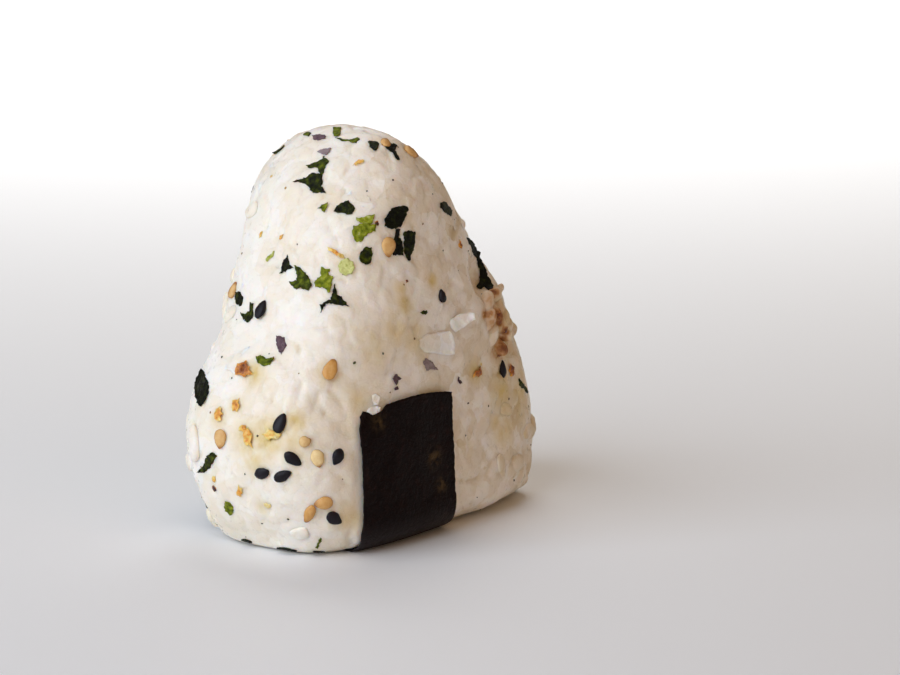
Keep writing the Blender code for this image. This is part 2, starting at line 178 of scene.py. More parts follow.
def ball_outline():
    """The sections joined by one smooth curve, from the middle of the base to the crown."""
    beyond = (1, -1, -1, 1, 1)
    rows = np.vstack((SECTIONS[1] * beyond, SECTIONS, SECTIONS[-2] * beyond))
    t = np.linspace(0, 1, SPAN_STEPS, endpoint=False)[:, None]
    spans = [
        (2 * b + (c - a) * t + (2 * a - 5 * b + 4 * c - d) * t**2 + (3 * b - a - 3 * c + d) * t**3) / 2
        for a, b, c, d in zip(rows, rows[1:], rows[2:], rows[3:])
    ]
    outline = np.vstack(spans + [SECTIONS[-1:]])
    outline[:, 0] = np.maximum(outline[:, 0], 0)
    return outline


OUTLINE = ball_outline()
BASE_END = BASE_SECTIONS * SPAN_STEPS
SIDE = OUTLINE[BASE_END:]


def section_at(height):
    """Half width, half depth and shifts of the ball at a height."""
    rising = np.maximum.accumulate(SIDE[:, 0])
    return [np.interp(height, rising, SIDE[:, k]) for k in (1, 2, 3, 4)]


def squareness(height):
    return BASE_SQUARENESS + (CROWN_SQUARENESS - BASE_SQUARENESS) * height / HEIGHT


def radius_towards(half_width, half_depth, power, bearing):
    """The reach of a rounded rectangle towards a bearing, given in radians."""
    across = np.abs(np.sin(bearing)) / half_width
    along = np.abs(np.cos(bearing)) / half_depth
    return (across**power + along**power) ** (-1 / power)


def on_ball(bearing, height):
    """The point of the smooth ball at a bearing in degrees and a height."""
    half_width, half_depth, shift_x, shift_y = section_at(height)
    angle = math.radians(bearing)
    reach = radius_towards(half_width, half_depth, squareness(height), angle)
    return Vector((shift_x + reach * math.sin(angle), shift_y - reach * math.cos(angle), height))


def outward(bearing, height):
    """The direction straight out of the smooth ball there."""
    step = 1.0
    level = on_ball(bearing + step, height) - on_ball(bearing - step, height)
    low, high = max(height - step, 0.0), min(height + step, HEIGHT - 0.1)
    rise = on_ball(bearing, high) - on_ball(bearing, low)
    return level.cross(rise).normalized()


def smooth_step(value):
    value = np.clip(value, 0.0, 1.0)
    return value * value * (3 - 2 * value)


def nori_drift(height):
    """How far the strip has run askew to +X where it turns under the base."""
    return NORI_DRIFT * (1 - smooth_step(height / NORI_DRIFT_HEIGHT))


def beyond_nori(points):
    """How far each point lies beside the strip, less than 0 within its width."""
    return np.abs(points[:, 0] - NORI_CENTRE - nori_drift(points[:, 2])) - NORI_WIDTH / 2


def under_nori(points, margin):
    """1 where the strip covers the ball, falling to 0 over the margin round it."""
    limit = np.where(points[:, 1] < 0, NORI_FRONT_HEIGHT + NORI_FRONT_ARCH, NORI_BACK_HEIGHT)
    outside = np.maximum(beyond_nori(points), points[:, 2] - limit)
    return 1 - smooth_step((outside - margin / 2) / margin)


def hand_pressed(points):
    """How far the hand left the surface out of true at each point."""
    out = np.array([UNEVEN_HEIGHT * noise.noise(Vector(point) / UNEVEN_REACH) for point in points])
    for bearing, height, reach, push in PRESSED:
        apart = ((points - np.array(on_ball(bearing, height))) ** 2).sum(axis=1)
        out += push * np.exp(-apart / (reach * reach / 2))
    return out


def stained(points):
    """How much seasoning each point of the rice has soaked up."""
    out = np.zeros(len(points))
    for bearing, height, reach, strength in STAINS:
        apart = ((points - np.array(on_ball(bearing, height))) ** 2).sum(axis=1)
        out = np.maximum(out, strength * np.exp(-apart / (reach * reach)))
    return out


def moist(points):
    """How much painted shade each point of the rice takes: none at the end at -X, which faces the window,
    more towards +X.
    """
    return smooth_step((points[:, 0] - SHADE_FROM_X) / SHADE_OVER)


def loft_points():
    """The smooth ball as rings: the foot, every ring from the base up, and the crown."""
    steps = np.linalg.norm(np.diff(OUTLINE[:, :3], axis=0), axis=1)
    along = np.concatenate(((0.0,), np.cumsum(steps)))
    base = np.linspace(0, along[BASE_END], BASE_RINGS + 1)[1:-1]
    side = np.linspace(along[BASE_END], along[-1], SIDE_RINGS + 1)[:-1]
    marks = np.concatenate((base, side))
    height, half_width, half_depth, shift_x, shift_y = (
        np.interp(marks, along, OUTLINE[:, k])[:, None] for k in range(5)
    )
    turns = np.linspace(0, 2 * math.pi, COLUMNS, endpoint=False)
    widest, deepest = SECTIONS[:, 1].max(), SECTIONS[:, 2].max()
    bearings = np.arctan2(widest * np.sin(turns), deepest * np.cos(turns))[None, :]
    reach = radius_towards(half_width, half_depth, squareness(height), bearings)
    x = shift_x + reach * np.sin(bearings)
    y = shift_y - reach * np.cos(bearings)
    rings = np.stack((x, y, np.broadcast_to(height, x.shape)), axis=-1).reshape(-1, 3)
    foot = (OUTLINE[0, 3], OUTLINE[0, 4], 0.0)
    crown = (OUTLINE[-1, 3], OUTLINE[-1, 4], HEIGHT)
    return np.vstack((rings, foot, crown)), len(marks)


def loft_faces(rings):
    """Quads between the rings, and a fan of triangles at the foot and at the crown."""
    faces = []
    foot, crown = rings * COLUMNS, rings * COLUMNS + 1
    last = (rings - 1) * COLUMNS
    for k in range(COLUMNS):
        after = (k + 1) % COLUMNS
        faces.append((foot, after, k))
        faces.append((crown, last + k, last + after))
    for ring in range(rings - 1):
        low, high = ring * COLUMNS, (ring + 1) * COLUMNS
        for k in range(COLUMNS):
            after = (k + 1) % COLUMNS
            faces.append((low + k, low + after, high + after, high + k))
    return faces


def new_piece(name, points, faces):
    """A mesh object in the scene from points in millimetres."""
    mesh = bpy.data.meshes.new(name)
    mesh.from_pydata((np.asarray(points) * MM).tolist(), [], faces)
    mesh.update()
    mesh.shade_smooth()
    piece = bpy.data.objects.new(name, mesh)
    bpy.context.scene.collection.objects.link(piece)
    return piece


def points_of(mesh):
    """A mesh's points in millimetres."""
    flat = np.empty(len(mesh.vertices) * 3)
    mesh.vertices.foreach_get("co", flat)
    return flat.reshape(-1, 3) / MM


def set_points(mesh, points):
    mesh.vertices.foreach_set("co", (points * MM).ravel())
    mesh.update()


def normals_of(mesh):
    flat = np.empty(len(mesh.vertices) * 3)
    mesh.vertex_normals.foreach_get("vector", flat)
    return flat.reshape(-1, 3)


def mark(mesh, name, values):
    """Stores a number at each point of a mesh, for its material."""
    mesh.attributes.new(name, "FLOAT", "POINT").data.foreach_set("value", values.astype(np.float32))


def marks_of(mesh, name):
    """The numbers stored at a mesh's points."""
    values = np.empty(len(mesh.vertices), np.float32)
    mesh.attributes[name].data.foreach_get("value", values)
    return values


def tree_of(points):
    """The points sorted, to find the nearest ones."""
    tree = KDTree(len(points))
    for index, point in enumerate(points):
        tree.insert(point, index)
    tree.balance()
    return tree


def fused_grains(points, normals, draw):
    """The relief of the fused grains at each point, and how white the grain on top there is."""
    tree = tree_of(points)
    cells = {}
    for _ in range(FUSED_TRIES):
        index = draw.randrange(len(points))
        cells.setdefault(tuple((points[index] // FUSED_SPACING).astype(int)), index)
    highest = np.zeros(len(points))
    white = np.full(len(points), 0.5)
    for index in cells.values():
        middle, normal = points[index], Vector(normals[index])
        side = normal.orthogonal().normalized()
        side.rotate(Matrix.Rotation(draw.uniform(0, math.pi), 3, normal))
        across = np.array(normal.cross(side))
        half_length = GRAIN_LENGTH / 2 * draw.uniform(*GRAIN_SPREAD)
        half_width = GRAIN_WIDTH / 2 * draw.uniform(*GRAIN_SPREAD)
        proud = FUSED_PROUD * draw.uniform(*FUSED_SPREAD)
        lean = (FUSED_LEAN * draw.uniform(-1, 1), FUSED_LEAN * draw.uniform(-1, 1))
        whiteness = draw.random()
        near = [found for _, found, _ in tree.find_range(middle, half_length)]
        offset = points[near] - middle
        a = offset @ np.array(side) / half_length
        b = offset @ across / half_width
        outwards = np.abs(a) ** GRAIN_BLUNTNESS + np.abs(b) ** GRAIN_BLUNTNESS
        dome = np.sqrt(np.clip(1 - outwards**2, 0, None))
        rise = (proud + lean[0] * a + lean[1] * b) * dome
        top = rise > highest[near]
        highest[near] = np.maximum(highest[near], rise)
        white[near] = np.where(top, whiteness, white[near])
    return highest, white


class Wire:
    """A socket that comes out of a node. Arithmetic on it adds Math nodes to its tree."""

    def __init__(self, sheet, socket):
        self.sheet = sheet
        self.socket = socket

    def maths(self, operation, *values, **settings):
        settings["operation"] = operation
        return self.sheet.add("ShaderNodeMath", settings, dict(enumerate(values)))

    def __add__(self, other):
        return self.maths("ADD", self, other)

    def __radd__(self, other):
        return self.maths("ADD", other, self)

    def __sub__(self, other):
        return self.maths("SUBTRACT", self, other)

    def __rsub__(self, other):
        return self.maths("SUBTRACT", other, self)

    def __mul__(self, other):
        return self.maths("MULTIPLY", self, other)

    def __rmul__(self, other):
        return self.maths("MULTIPLY", other, self)

    def clamped(self):
        return self.maths("ADD", self, 0.0, use_clamp=True)

    def between(self, low, high):
        """0 at low, 1 at high, smooth between."""
        limits = {0: self, 1: low, 2: high}
        return self.sheet.add("ShaderNodeMapRange", {"interpolation_type": "SMOOTHSTEP"}, limits)


class Sheet:
    """A node tree as it is drawn up: each call adds one node and joins its inputs."""

    def __init__(self, tree):
        self.tree = tree

    def add(self, kind, settings=None, inputs=None, output=0):
        node = self.tree.nodes.new(kind)
        for name, value in (settings or {}).items():
            if name == "stops":
                self.set_stops(node.color_ramp, value)
            else:
                setattr(node, name, value)
        for name, value in (inputs or {}).items():
            self.join(node.inputs[name], value)
        return Wire(self, node.outputs[output])

    def set_stops(self, ramp, stops):
        while len(ramp.elements) < len(stops):
            ramp.elements.new(1.0)
        for element, (position, colour) in zip(ramp.elements, stops):
            element.position = position
            element.color = (*colour, 1.0)

    def join(self, socket, value):
        if isinstance(value, Wire):
            self.tree.links.new(value.socket, socket)
        elif socket.type == "RGBA":
            socket.default_value = (*value[:3], 1.0)
        else:
            socket.default_value = value

    def mix(self, share, first, second):
        """One colour turning into another."""
        return self.add("ShaderNodeMix", {"data_type": "RGBA"}, {0: share, 6: first, 7: second}, output=2)

    def ramp(self, value, *stops):
        """A colour for each value, from stops of a position and a colour."""
        return self.add("ShaderNodeValToRGB", {"stops": stops}, {0: value})

    def attribute(self, name):
        return self.add("ShaderNodeAttribute", {"attribute_name": name}, output=2)

    def place(self):
        return self.add("ShaderNodeTexCoord", output="Object")

    def blotches(self, size, detail=2.0, rough=0.5):
        """Cloudy noise from 0 to 1 whose blotches are about a size in millimetres."""
        inputs = {"Vector": self.place(), "Scale": 1 / (size * MM), "Detail": detail, "Roughness": rough}
        return self.add("ShaderNodeTexNoise", None, inputs)

    def ragged_cells(self, size):
        """A number from 0 to 1 for each of the ragged patches that cover the surface."""
        swirl_size, swirl_push = 0.8 * size * MM, 0.9 * size * MM
        inputs = {"Vector": self.place(), "Scale": 1 / swirl_size}
        swirl = self.add("ShaderNodeTexNoise", None, inputs, output="Color")
        inputs = {0: swirl, 1: (swirl_push,) * 3, 2: self.place()}
        bent = self.add("ShaderNodeVectorMath", {"operation": "MULTIPLY_ADD"}, inputs)
        inputs = {"Vector": bent, "Scale": 1 / (size * MM)}
        cells = self.add("ShaderNodeTexVoronoi", None, inputs, output="Color")
        return self.add("ShaderNodeSeparateColor", None, {0: cells})

    def bump(self, height, depth, under=None):
        """A bumpy normal: heights from 0 to 1 stand for a depth in millimetres."""
        inputs = {"Height": height, "Distance": depth * MM, "Strength": 1.0}
        if under:
            inputs["Normal"] = under
        return self.add("ShaderNodeBump", None, inputs)


def new_material(name):
    """A material's sheet and its shader, still without inputs."""
    material = bpy.data.materials.new(name)
    material.use_nodes = True
    return material, Sheet(material.node_tree), material.node_tree.nodes["Principled BSDF"]


def set_shader(sheet, shader, inputs):
    for name, value in inputs.items():
        sheet.join(shader.inputs[name], value)


RICE_WHITE = (0.925, 0.865, 0.785)
RICE_CREAM = (0.85, 0.76, 0.61)
# Painted shade: the creamy rice turns to this darker, warmer colour towards +X, the side away from the
# window
RICE_PAINTED_SHADE = (0.66, 0.53, 0.33)
# The gaps' colour: partly the rice's own, partly painted shade in the hollows
RICE_GAP_SHADE = (0.76, 0.66, 0.46)
# The flaps' whitest colour: partly their own pressed white, partly a painted highlight of the window light
# that they catch
SMEARED_WHITE_AND_HIGHLIGHT = (0.98, 0.96, 0.93)
STAIN = (0.70, 0.53, 0.19)
RUBBED = (
    (0.0, (0.74, 0.62, 0.47)),
    (0.35, (0.55, 0.295, 0.12)),
    (0.65, (0.29, 0.105, 0.032)),
    (1.0, (0.09, 0.030, 0.012)),
)
SKIN_GLOW = 1.1
GRAIN_GLOW = 0.15


def rice_material(name, glow, whitest=RICE_WHITE):
    """Moist, a little translucent rice: white grains, creamy ones that painted shade darkens towards +X,
    hollows partly painted shade, seeped and rubbed-in seasoning.
    """
    material, sheet, shader = new_material(name)
    patches, large, small = (sheet.ragged_cells(size) for size in (6.5, 3.6, 2.2))
    clouds = (sheet.blotches(9.0) - 0.5) * 0.4
    white = sheet.attribute("white") * 0.45 + patches * 0.6 + large * 0.4 + small * 0.2 + clouds - 0.16
    # Painted shade: creamy rice darker and warmer towards +X
    cream = sheet.mix(sheet.attribute("moist"), RICE_CREAM, RICE_PAINTED_SHADE)
    colour = sheet.mix(white.clamped(), cream, whitest)
    # Darker and yellower in the hollows between grains: partly painted shade
    colour = sheet.mix(sheet.attribute("gap") * 0.7, colour, RICE_GAP_SHADE)
    cloudy = sheet.attribute("stain") * (sheet.blotches(1.6) * 1.3 + 0.35)
    colour = sheet.mix(cloudy.clamped(), colour, STAIN)
    rubbed = sheet.attribute("rubbed") * (sheet.blotches(0.9, 3.0) * 1.5 + 0.25)
    colour = sheet.mix((rubbed * 2.5).clamped(), colour, sheet.ramp(rubbed.clamped(), *RUBBED))
    wet = sheet.blotches(1.1).between(0.56, 0.68)
    steps = sheet.bump(small, 0.08, sheet.bump(large, 0.18, sheet.bump(patches, 0.2)))
    skin = sheet.bump(sheet.blotches(0.7), 0.05, sheet.bump(sheet.blotches(2.0), 0.12, steps))
    inputs = {
        "Base Color": colour,
        "Roughness": 0.5 - wet * 0.3,
        "Normal": skin,
        "Subsurface Weight": 0.85,
        "Subsurface Radius": (1.0, 0.78, 0.56),
        "Subsurface Scale": glow * MM,
        "IOR": 1.38,
    }
    set_shader(sheet, shader, inputs)
    return material


def press_rice(draw):
    """The ball with its finger marks and fused grains, flat underneath and recessed for the nori."""
    points, rings = loft_points()
    core = new_piece("rice_core", points, loft_faces(rings))
    normals = normals_of(core.data)
    relief, white = fused_grains(points, normals, draw)
    middle = relief.mean()
    free = smooth_step(points[:, 2] / BASE_FADE) * (1 - under_nori(points, NORI_CLEARANCE))
    lift = free * (relief - middle + hand_pressed(points))
    shaped = points + normals * lift[:, None]
    covered = beyond_nori(shaped) < NORI_CLEARANCE
    shaped[:, 2] = np.maximum(shaped[:, 2], np.where(covered, RECESS, 0.0))
    set_points(core.data, shaped)
    mark(core.data, "white", white)
    mark(core.data, "gap", smooth_step(1 - relief / (GAP_SHARE * middle)))
    mark(core.data, "stain", stained(points))
    mark(core.data, "moist", moist(points))
    mark(core.data, "free", free)
    return core


def finish_piece(piece, node):
    """Holds a finished piece inside the solids' box, ties it to the ball and hides the solid that it stands
    for.
    """
    low, high = np.array(cad_box) / MM
    set_points(piece.data, np.clip(points_of(piece.data), low, high))
    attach(piece, "root")
    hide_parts(node)


core = press_rice(random.Random(SEED))
core.data.materials.append(rice_material("pressed rice", SKIN_GLOW))
finish_piece(core, "rice_ball")

# Camera
# The photograph's view: a little above the table, looking at one end and the broad face.
VIEW_BEARING = -53.5
VIEW_RISE = 10.7
VIEW_DISTANCE = 600.0
SCALE = 0.185
PICTURE = (900, 675)
AIMED_AT = (364.2, 321.4)
SENSOR = 36.0


def view_direction(bearing, rise):
    """From the ball towards a viewer."""
    flat, up = math.radians(bearing), math.radians(rise)
    return Vector((math.sin(flat) * math.cos(up), -math.cos(flat) * math.cos(up), math.sin(up)))


AIM = Vector((0, 0, HEIGHT / 2))
TOWARDS_VIEWER = view_direction(VIEW_BEARING, VIEW_RISE)
PICTURE_RIGHT = Vector((0, 0, 1)).cross(TOWARDS_VIEWER).normalized()
PICTURE_UP = TOWARDS_VIEWER.cross(PICTURE_RIGHT)
EYE = AIM + TOWARDS_VIEWER * VIEW_DISTANCE


def sight_line(x, y):
    """The direction in which the camera sees a pixel of the picture."""
    across, rise = (x - AIMED_AT[0]) * SCALE, (AIMED_AT[1] - y) * SCALE
    return (AIM + PICTURE_RIGHT * across + PICTURE_UP * rise - EYE).normalized()


def set_camera():
    lens = bpy.data.cameras.new("camera")
    lens.sensor_width = SENSOR
    lens.lens = VIEW_DISTANCE / SCALE * SENSOR / PICTURE[0]
    lens.shift_x = (PICTURE[0] / 2 - AIMED_AT[0]) / PICTURE[0]
    lens.shift_y = (AIMED_AT[1] - PICTURE[1] / 2) / PICTURE[0]
    lens.clip_start = 0.01
    camera = bpy.data.objects.new("camera", lens)
    camera.location = EYE * MM
    camera.rotation_euler = TOWARDS_VIEWER.to_track_quat("Z", "Y").to_euler()
    bpy.context.scene.collection.objects.link(camera)
    bpy.context.scene.camera = camera


set_camera()

# Nori
# A strip of toasted, pressed seaweed, thin, matt and almost black. It is laid down the front of
# the warm rice, folded under the base and a little way up the back, and stuck by its damp.
NORI_COLUMNS = 75
NORI_FRONT_ROWS = 76
NORI_BASE_ROWS = 32
NORI_BACK_ROWS = 36
# How far it waves and crinkles, over what distance, and how far its rim lifts
NORI_WAVE = 0.18
NORI_CRINKLE = 0.07
NORI_WAVE_REACH = 5.0
NORI_CRINKLE_REACH = 1.5
NORI_EDGE_LIFT = 0.25
# How far its edges are torn, less along the top in front, and over what distances
NORI_RAGGED = 0.22
NORI_TOP_SHARE = 0.6
TEAR_REACH = 1.1
FINE_TEAR_REACH = 0.35
# How much of a ragged edge reaches inwards: the higher, the less
NORI_RIM_POWER = 6
# Its top edge in front: higher at the right, a slanting cut at the left, a bite at x, reach and depth
NORI_TILT = 0.35
NORI_CORNER_CUT = 2.4
NORI_CORNER_HEIGHT = 2.6
NORI_BITE = (-21.8, 2.2, 0.9)
# The height from which it leaves the rice, and the height that it takes to be free
NORI_FREE_FROM = 2.0
NORI_FREE_OVER = 5.0
# Below this height the strip's colour carries a painted reflection of the pale floor, bluish grey where it
# curves under
NORI_REFLECTION_HEIGHT = 7.0
# The widest share of the ball's half width at which its broad faces are still measured
FACE_LIMIT = 0.995
# Thin spots where the seaweed shows olive brown: width x, height, reach
NORI_SPOTS = ((-21.6, 24.0, 1.3), (-7.1, 15.2, 1.6), (-5.3, 9.8, 1.3))


def face_reach(x, height, side):
    """How far the ball reaches in Y at a width x, at the front for side -1 or the back for 1."""
    half_width, half_depth, shift_x, shift_y = section_at(height)
    power = squareness(height)
    share = np.minimum(np.abs((x - shift_x) / half_width), FACE_LIMIT)
    return shift_y + side * half_depth * (1 - share**power) ** (1 / power)


def ragged_edge(along, seed):
    """The torn wander of an edge at a distance along it, about -1 to 1."""
    wander = noise.noise(Vector((along / TEAR_REACH, seed, 0.0)))
    return wander + 0.5 * noise.noise(Vector((along / FINE_TEAR_REACH, seed, 5.0)))


def nori_column(x):
    """The rice surface that the strip follows at a width x: down the front, under, up the back."""
    aside = (x - NORI_CENTRE) / (NORI_WIDTH / 2)
    bite_x, bite_reach, bite_depth = NORI_BITE
    front_top = NORI_FRONT_HEIGHT + NORI_FRONT_ARCH * (1 - aside * aside) + NORI_TILT * aside
    front_top += NORI_RAGGED * ragged_edge(x, 1.0) * NORI_TOP_SHARE
    front_top -= bite_depth * math.exp(-(((x - bite_x) / bite_reach) ** 4))
    back_top = NORI_BACK_HEIGHT + NORI_RAGGED * ragged_edge(x, 2.0)
    front = np.linspace(front_top, RECESS, NORI_FRONT_ROWS)
    back = np.linspace(RECESS, back_top, NORI_BACK_ROWS)
    front_reach = face_reach(x + nori_drift(front), front, -1)
    back_reach = face_reach(x + nori_drift(back), back, 1)
    base_reach = np.linspace(front_reach[-1], back_reach[0], NORI_BASE_ROWS)[1:-1]
    height = np.concatenate((front, np.full(len(base_reach), RECESS), back))
    reach = np.concatenate((front_reach, base_reach, back_reach))
    cut = NORI_CORNER_CUT * np.clip(1 - (front_top - front) / NORI_CORNER_HEIGHT, 0, 1)
    inwards = np.zeros(len(height))
    inwards[: len(front)] = cut if aside < 0 else 0.0
    edge_seed = math.copysign(3.0, aside)
    wander = NORI_RAGGED * np.array([ragged_edge(sum(place), edge_seed) for place in zip(height, reach)])
    across = x + nori_drift(height) + abs(aside) ** NORI_RIM_POWER * (inwards + wander)
    return np.stack((across, reach, height), axis=-1)


def solid_sheet(piece, thickness, offset):
    """Gives an open surface its thickness."""
    wall = piece.modifiers.new("thickness", "SOLIDIFY")
    wall.thickness = thickness * MM
    wall.offset = offset
    wall.use_even_offset = offset == 0
    bpy.context.view_layer.update()
    graph = bpy.context.evaluated_depsgraph_get()
    mesh = bpy.data.meshes.new_from_object(piece.evaluated_get(graph))
    piece.modifiers.clear()
    piece.data = mesh
    bpy.context.view_layer.update()


def nori_sheet():
    """The strip: it stands off the rice by the gap and is wavy where it is free."""
    half = NORI_WIDTH / 2
    columns = [nori_column(x) for x in np.linspace(NORI_CENTRE - half, NORI_CENTRE + half, NORI_COLUMNS)]
    rows = len(columns[0])
    faces = []
    for column in range(NORI_COLUMNS - 1):
        for row in range(rows - 1):
            here, across = column * rows + row, (column + 1) * rows + row
            faces.append((here, here + 1, across + 1, across))
    points = np.concatenate(columns)
    strip = new_piece("nori_sheet", points, faces)
    normals = normals_of(strip.data)
    under_base = points[:, 2] < 1.5 * RECESS
    if normals[under_base, 2].sum() > 0:
        strip.data.flip_normals()
        normals = -normals
    free = smooth_step((points[:, 2] - NORI_FREE_FROM) / NORI_FREE_OVER)
    rim = np.minimum(1 + beyond_nori(points) / half, 1.0) ** NORI_RIM_POWER
    wave = np.array([1 + noise.noise(Vector(point) / NORI_WAVE_REACH) for point in points])
    crinkle = np.array([noise.noise(Vector(point) / NORI_CRINKLE_REACH) for point in points])
    waved = NORI_WAVE * wave + NORI_CRINKLE * crinkle + NORI_EDGE_LIFT * rim
    placed = points + normals * (NORI_GAP + NORI_THICKNESS / 2 + free * waved)[:, None]
    placed[:, 2] = np.maximum(placed[:, 2], NORI_THICKNESS / 2)
    set_points(strip.data, placed)
    solid_sheet(strip, NORI_THICKNESS, 0.0)
    strip.data.shade_smooth()
    return strip


def nori_material():
    """Toasted seaweed: brown black, faintly mottled, with fibres pressed into it, and a painted reflection
    of the floor low down.
    """
    material, sheet, shader = new_material("toasted nori")
    fibres = sheet.add(
        "ShaderNodeTexWave",
        {"bands_direction": "DIAGONAL"},
        {"Vector": sheet.place(), "Scale": 300.0, "Distortion": 14.0, "Detail": 3.0, "Detail Scale": 2.0},
    )
    mottle = sheet.blotches(1.1, 4.0, 0.6).between(0.4, 0.75)
    colour = sheet.mix(mottle, (0.0055, 0.0020, 0.0018), (0.014, 0.006, 0.0050))
    colour = sheet.mix(fibres * 0.35, colour, (0.002, 0.0012, 0.0012))
    reddish = sheet.blotches(2.6, 4.0, 0.65).between(0.55, 0.72) * 0.6
    colour = sheet.mix(reddish, colour, (0.024, 0.009, 0.007))
    # Painted reflection: towards the base the strip turns bluish grey, as if it mirrored the pale floor
    colour = sheet.mix(sheet.attribute("low") * 0.8, colour, (0.036, 0.030, 0.031))
    spot = sheet.attribute("spot") * sheet.blotches(1.2).between(0.35, 0.65)
    colour = sheet.mix(spot.clamped(), colour, (0.075, 0.045, 0.016))
    rough = sheet.bump(sheet.blotches(0.3, 3.0), 0.06, sheet.bump(mottle, 0.10))
    inputs = {
        "Base Color": colour,
        "Roughness": mottle * 0.15 + 0.5,
        "Normal": sheet.bump(fibres, 0.04, rough),
        "Specular IOR Level": 0.07,
    }
    set_shader(sheet, shader, inputs)
    return material


def spots_on(points):
    """How thin and olive the seaweed is at each point."""
    out = np.zeros(len(points))
    for x, height, reach in NORI_SPOTS:
        apart = (points[:, 0] - x) ** 2 + (points[:, 2] - height) ** 2
        out = np.maximum(out, np.exp(-apart / (reach * reach)) * (points[:, 1] < 0))
    return out


nori = nori_sheet()
nori.data.materials.clear()
nori.data.materials.append(nori_material())
mark(nori.data, "spot", spots_on(points_of(nori.data)))
# How strongly the painted floor reflection shows, most at the base
mark(nori.data, "low", smooth_step(1 - points_of(nori.data)[:, 2] / NORI_REFLECTION_HEIGHT))
finish_piece(nori, "nori_strip")

# Smeared grains
# Grains pressed so flat that they are thin, ragged, whitish plates, stuck over their neighbours.
# Most lie flush. One stands off the rice at its right end, and two lie over the top of the nori.
# Their white is partly their own and partly a painted highlight of the window light that the seen ones
# catch.
LOOK_FROM = 6.0
SLANT_LIMIT = 0.35
# Those that show clearly: whiteness, partly a painted highlight, rise towards the right end in mm a mm,
# outline in pixels.
FACED_FLAPS = (
    (1.2, 0.55, (
        (448.6, 325.0), (450.7, 319.3), (458.6, 314.3), (468.6, 312.4), (474.3, 313.3), (475.4, 319.3),
        (470.7, 322.1), (465.7, 325.7), (459.3, 330.0), (455.7, 332.1), (452.9, 330.0),
    )),
    (0.9, 0.12, (
        (419.0, 339.0), (428.0, 334.0), (441.0, 332.0), (450.0, 331.0), (453.0, 335.0),
        (455.0, 345.0), (455.0, 354.0), (448.0, 355.0), (424.0, 352.0), (418.0, 345.0),
    )),
    (1.0, 0.0, (
        (366.8, 411.5), (369.0, 408.0), (373.0, 406.5), (377.0, 406.0), (380.5, 407.5),
        (380.0, 411.0), (377.5, 414.0), (374.5, 416.0), (370.0, 415.0),
    )),
    (0.8, 0.0, (
        (372.5, 396.0), (376.0, 394.0), (380.0, 396.0), (380.5, 401.0),
        (378.0, 405.0), (374.0, 405.0), (372.0, 401.0),
    )),
)


class Ground:
    """What the toppings lie on: the surfaces of the pieces that are in place already."""

    def __init__(self, *pieces):
        self.trees = []
        for piece in pieces:
            self.include(piece)

    def include(self, piece):
        faces = [tuple(face.vertices) for face in piece.data.polygons]
        self.trees.append(BVHTree.FromPolygons(points_of(piece.data).tolist(), faces))

    def nearest(self, start, direction, reach):
        """The first surface that a line meets, and how far off it is, or nothing."""
        hits = [tree.ray_cast(start, direction, reach) for tree in self.trees]
        met = [(hit[3], hit[0]) for hit in hits if hit[0] is not None]
        return min(met, key=lambda hit: hit[0]) if met else None

    def under(self, point, normal):
        """The outermost point of the surface on the line through a point."""
        met = self.nearest(point + normal * LOOK_FROM, -normal, 2 * LOOK_FROM)
        return met[1] if met else point

    def seen(self, x, y):
        """How far from the camera the surface is at a pixel of the picture, or nothing beside it."""
        met = self.nearest(EYE, sight_line(x, y), 2 * VIEW_DISTANCE)
        return met[0] if met else None


def lie(bearing, height, turn=0.0):
    """How a thing lies on the ball: its side, its upright turned clockwise, and straight out."""
    normal = outward(bearing, height)
    upright = Vector((0, 0, 1)) - normal * normal.z
    on_the_crown = upright.length < 0.05
    if on_the_crown:
        upright = Vector((0, 1, 0))
    upright.normalize()
    upright.rotate(Matrix.Rotation(-math.radians(turn), 3, normal))
    return upright.cross(normal), upright, normal


def as_seen(outline, frame_axes):
    """Turns an outline read in the picture, right and up, into one on the ball's own surface."""
    side, upright, normal = frame_axes
    facing = max(TOWARDS_VIEWER.dot(normal), SLANT_LIMIT)
    turned = []
    for u, v in outline:
        flat = PICTURE_RIGHT * u + PICTURE_UP * v
        flat -= TOWARDS_VIEWER * (flat.dot(normal) / facing)
        turned.append((flat.dot(side), flat.dot(upright)))
    return turned


# How many corners a torn outline has, and how far out they are, as a share of its size
TORN_CORNERS = ((7, 9), (0.32, 0.6))
CRUMBLED_CORNERS = ((11, 15), (0.28, 0.64))
CORNER_SHIFT = 0.3


def torn_outline(length, width, draw, kind=TORN_CORNERS):
    """A rounded outline torn or crumbled at its corners."""
    counts, reaches = kind
    corners = draw.randint(*counts)
    outline = []
    for k in range(corners):
        angle = math.tau * (k + draw.uniform(-CORNER_SHIFT, CORNER_SHIFT)) / corners
        reach = draw.uniform(*reaches)
        outline.append((width * reach * math.cos(angle), length * reach * math.sin(angle)))
    return outline


def ragged(outline, step, rough, draw):
    """The outline with many small torn corners."""
    ring = []
    for (x0, y0), (x1, y1) in zip(outline, list(outline[1:]) + [outline[0]]):
        count = max(1, round(math.hypot(x1 - x0, y1 - y0) / step))
        for k in range(count):
            x = x0 + (x1 - x0) * k / count + draw.uniform(-rough, rough)
            y = y0 + (y1 - y0) * k / count + draw.uniform(-rough, rough)
            ring.append((x, y))
    return ring


def inside(ring, x, y):
    """Whether a point is inside an outline, which a line from it then crosses an odd number of times."""
    crossings = 0
    for (x0, y0), (x1, y1) in zip(ring, ring[1:] + ring[:1]):
        if (y0 > y) != (y1 > y) and x < x0 + (x1 - x0) * (y - y0) / (y1 - y0):
            crossings += 1
    return crossings % 2 == 1


# Rows this many steps apart make triangles of even sides. Points keep off the outline by a share
# of the step, so that no triangle at the rim is a sliver.
ROW_STEP = 0.87
CLEAR_OF_RIM = 0.6
MERGED_WITHIN = 1e-5


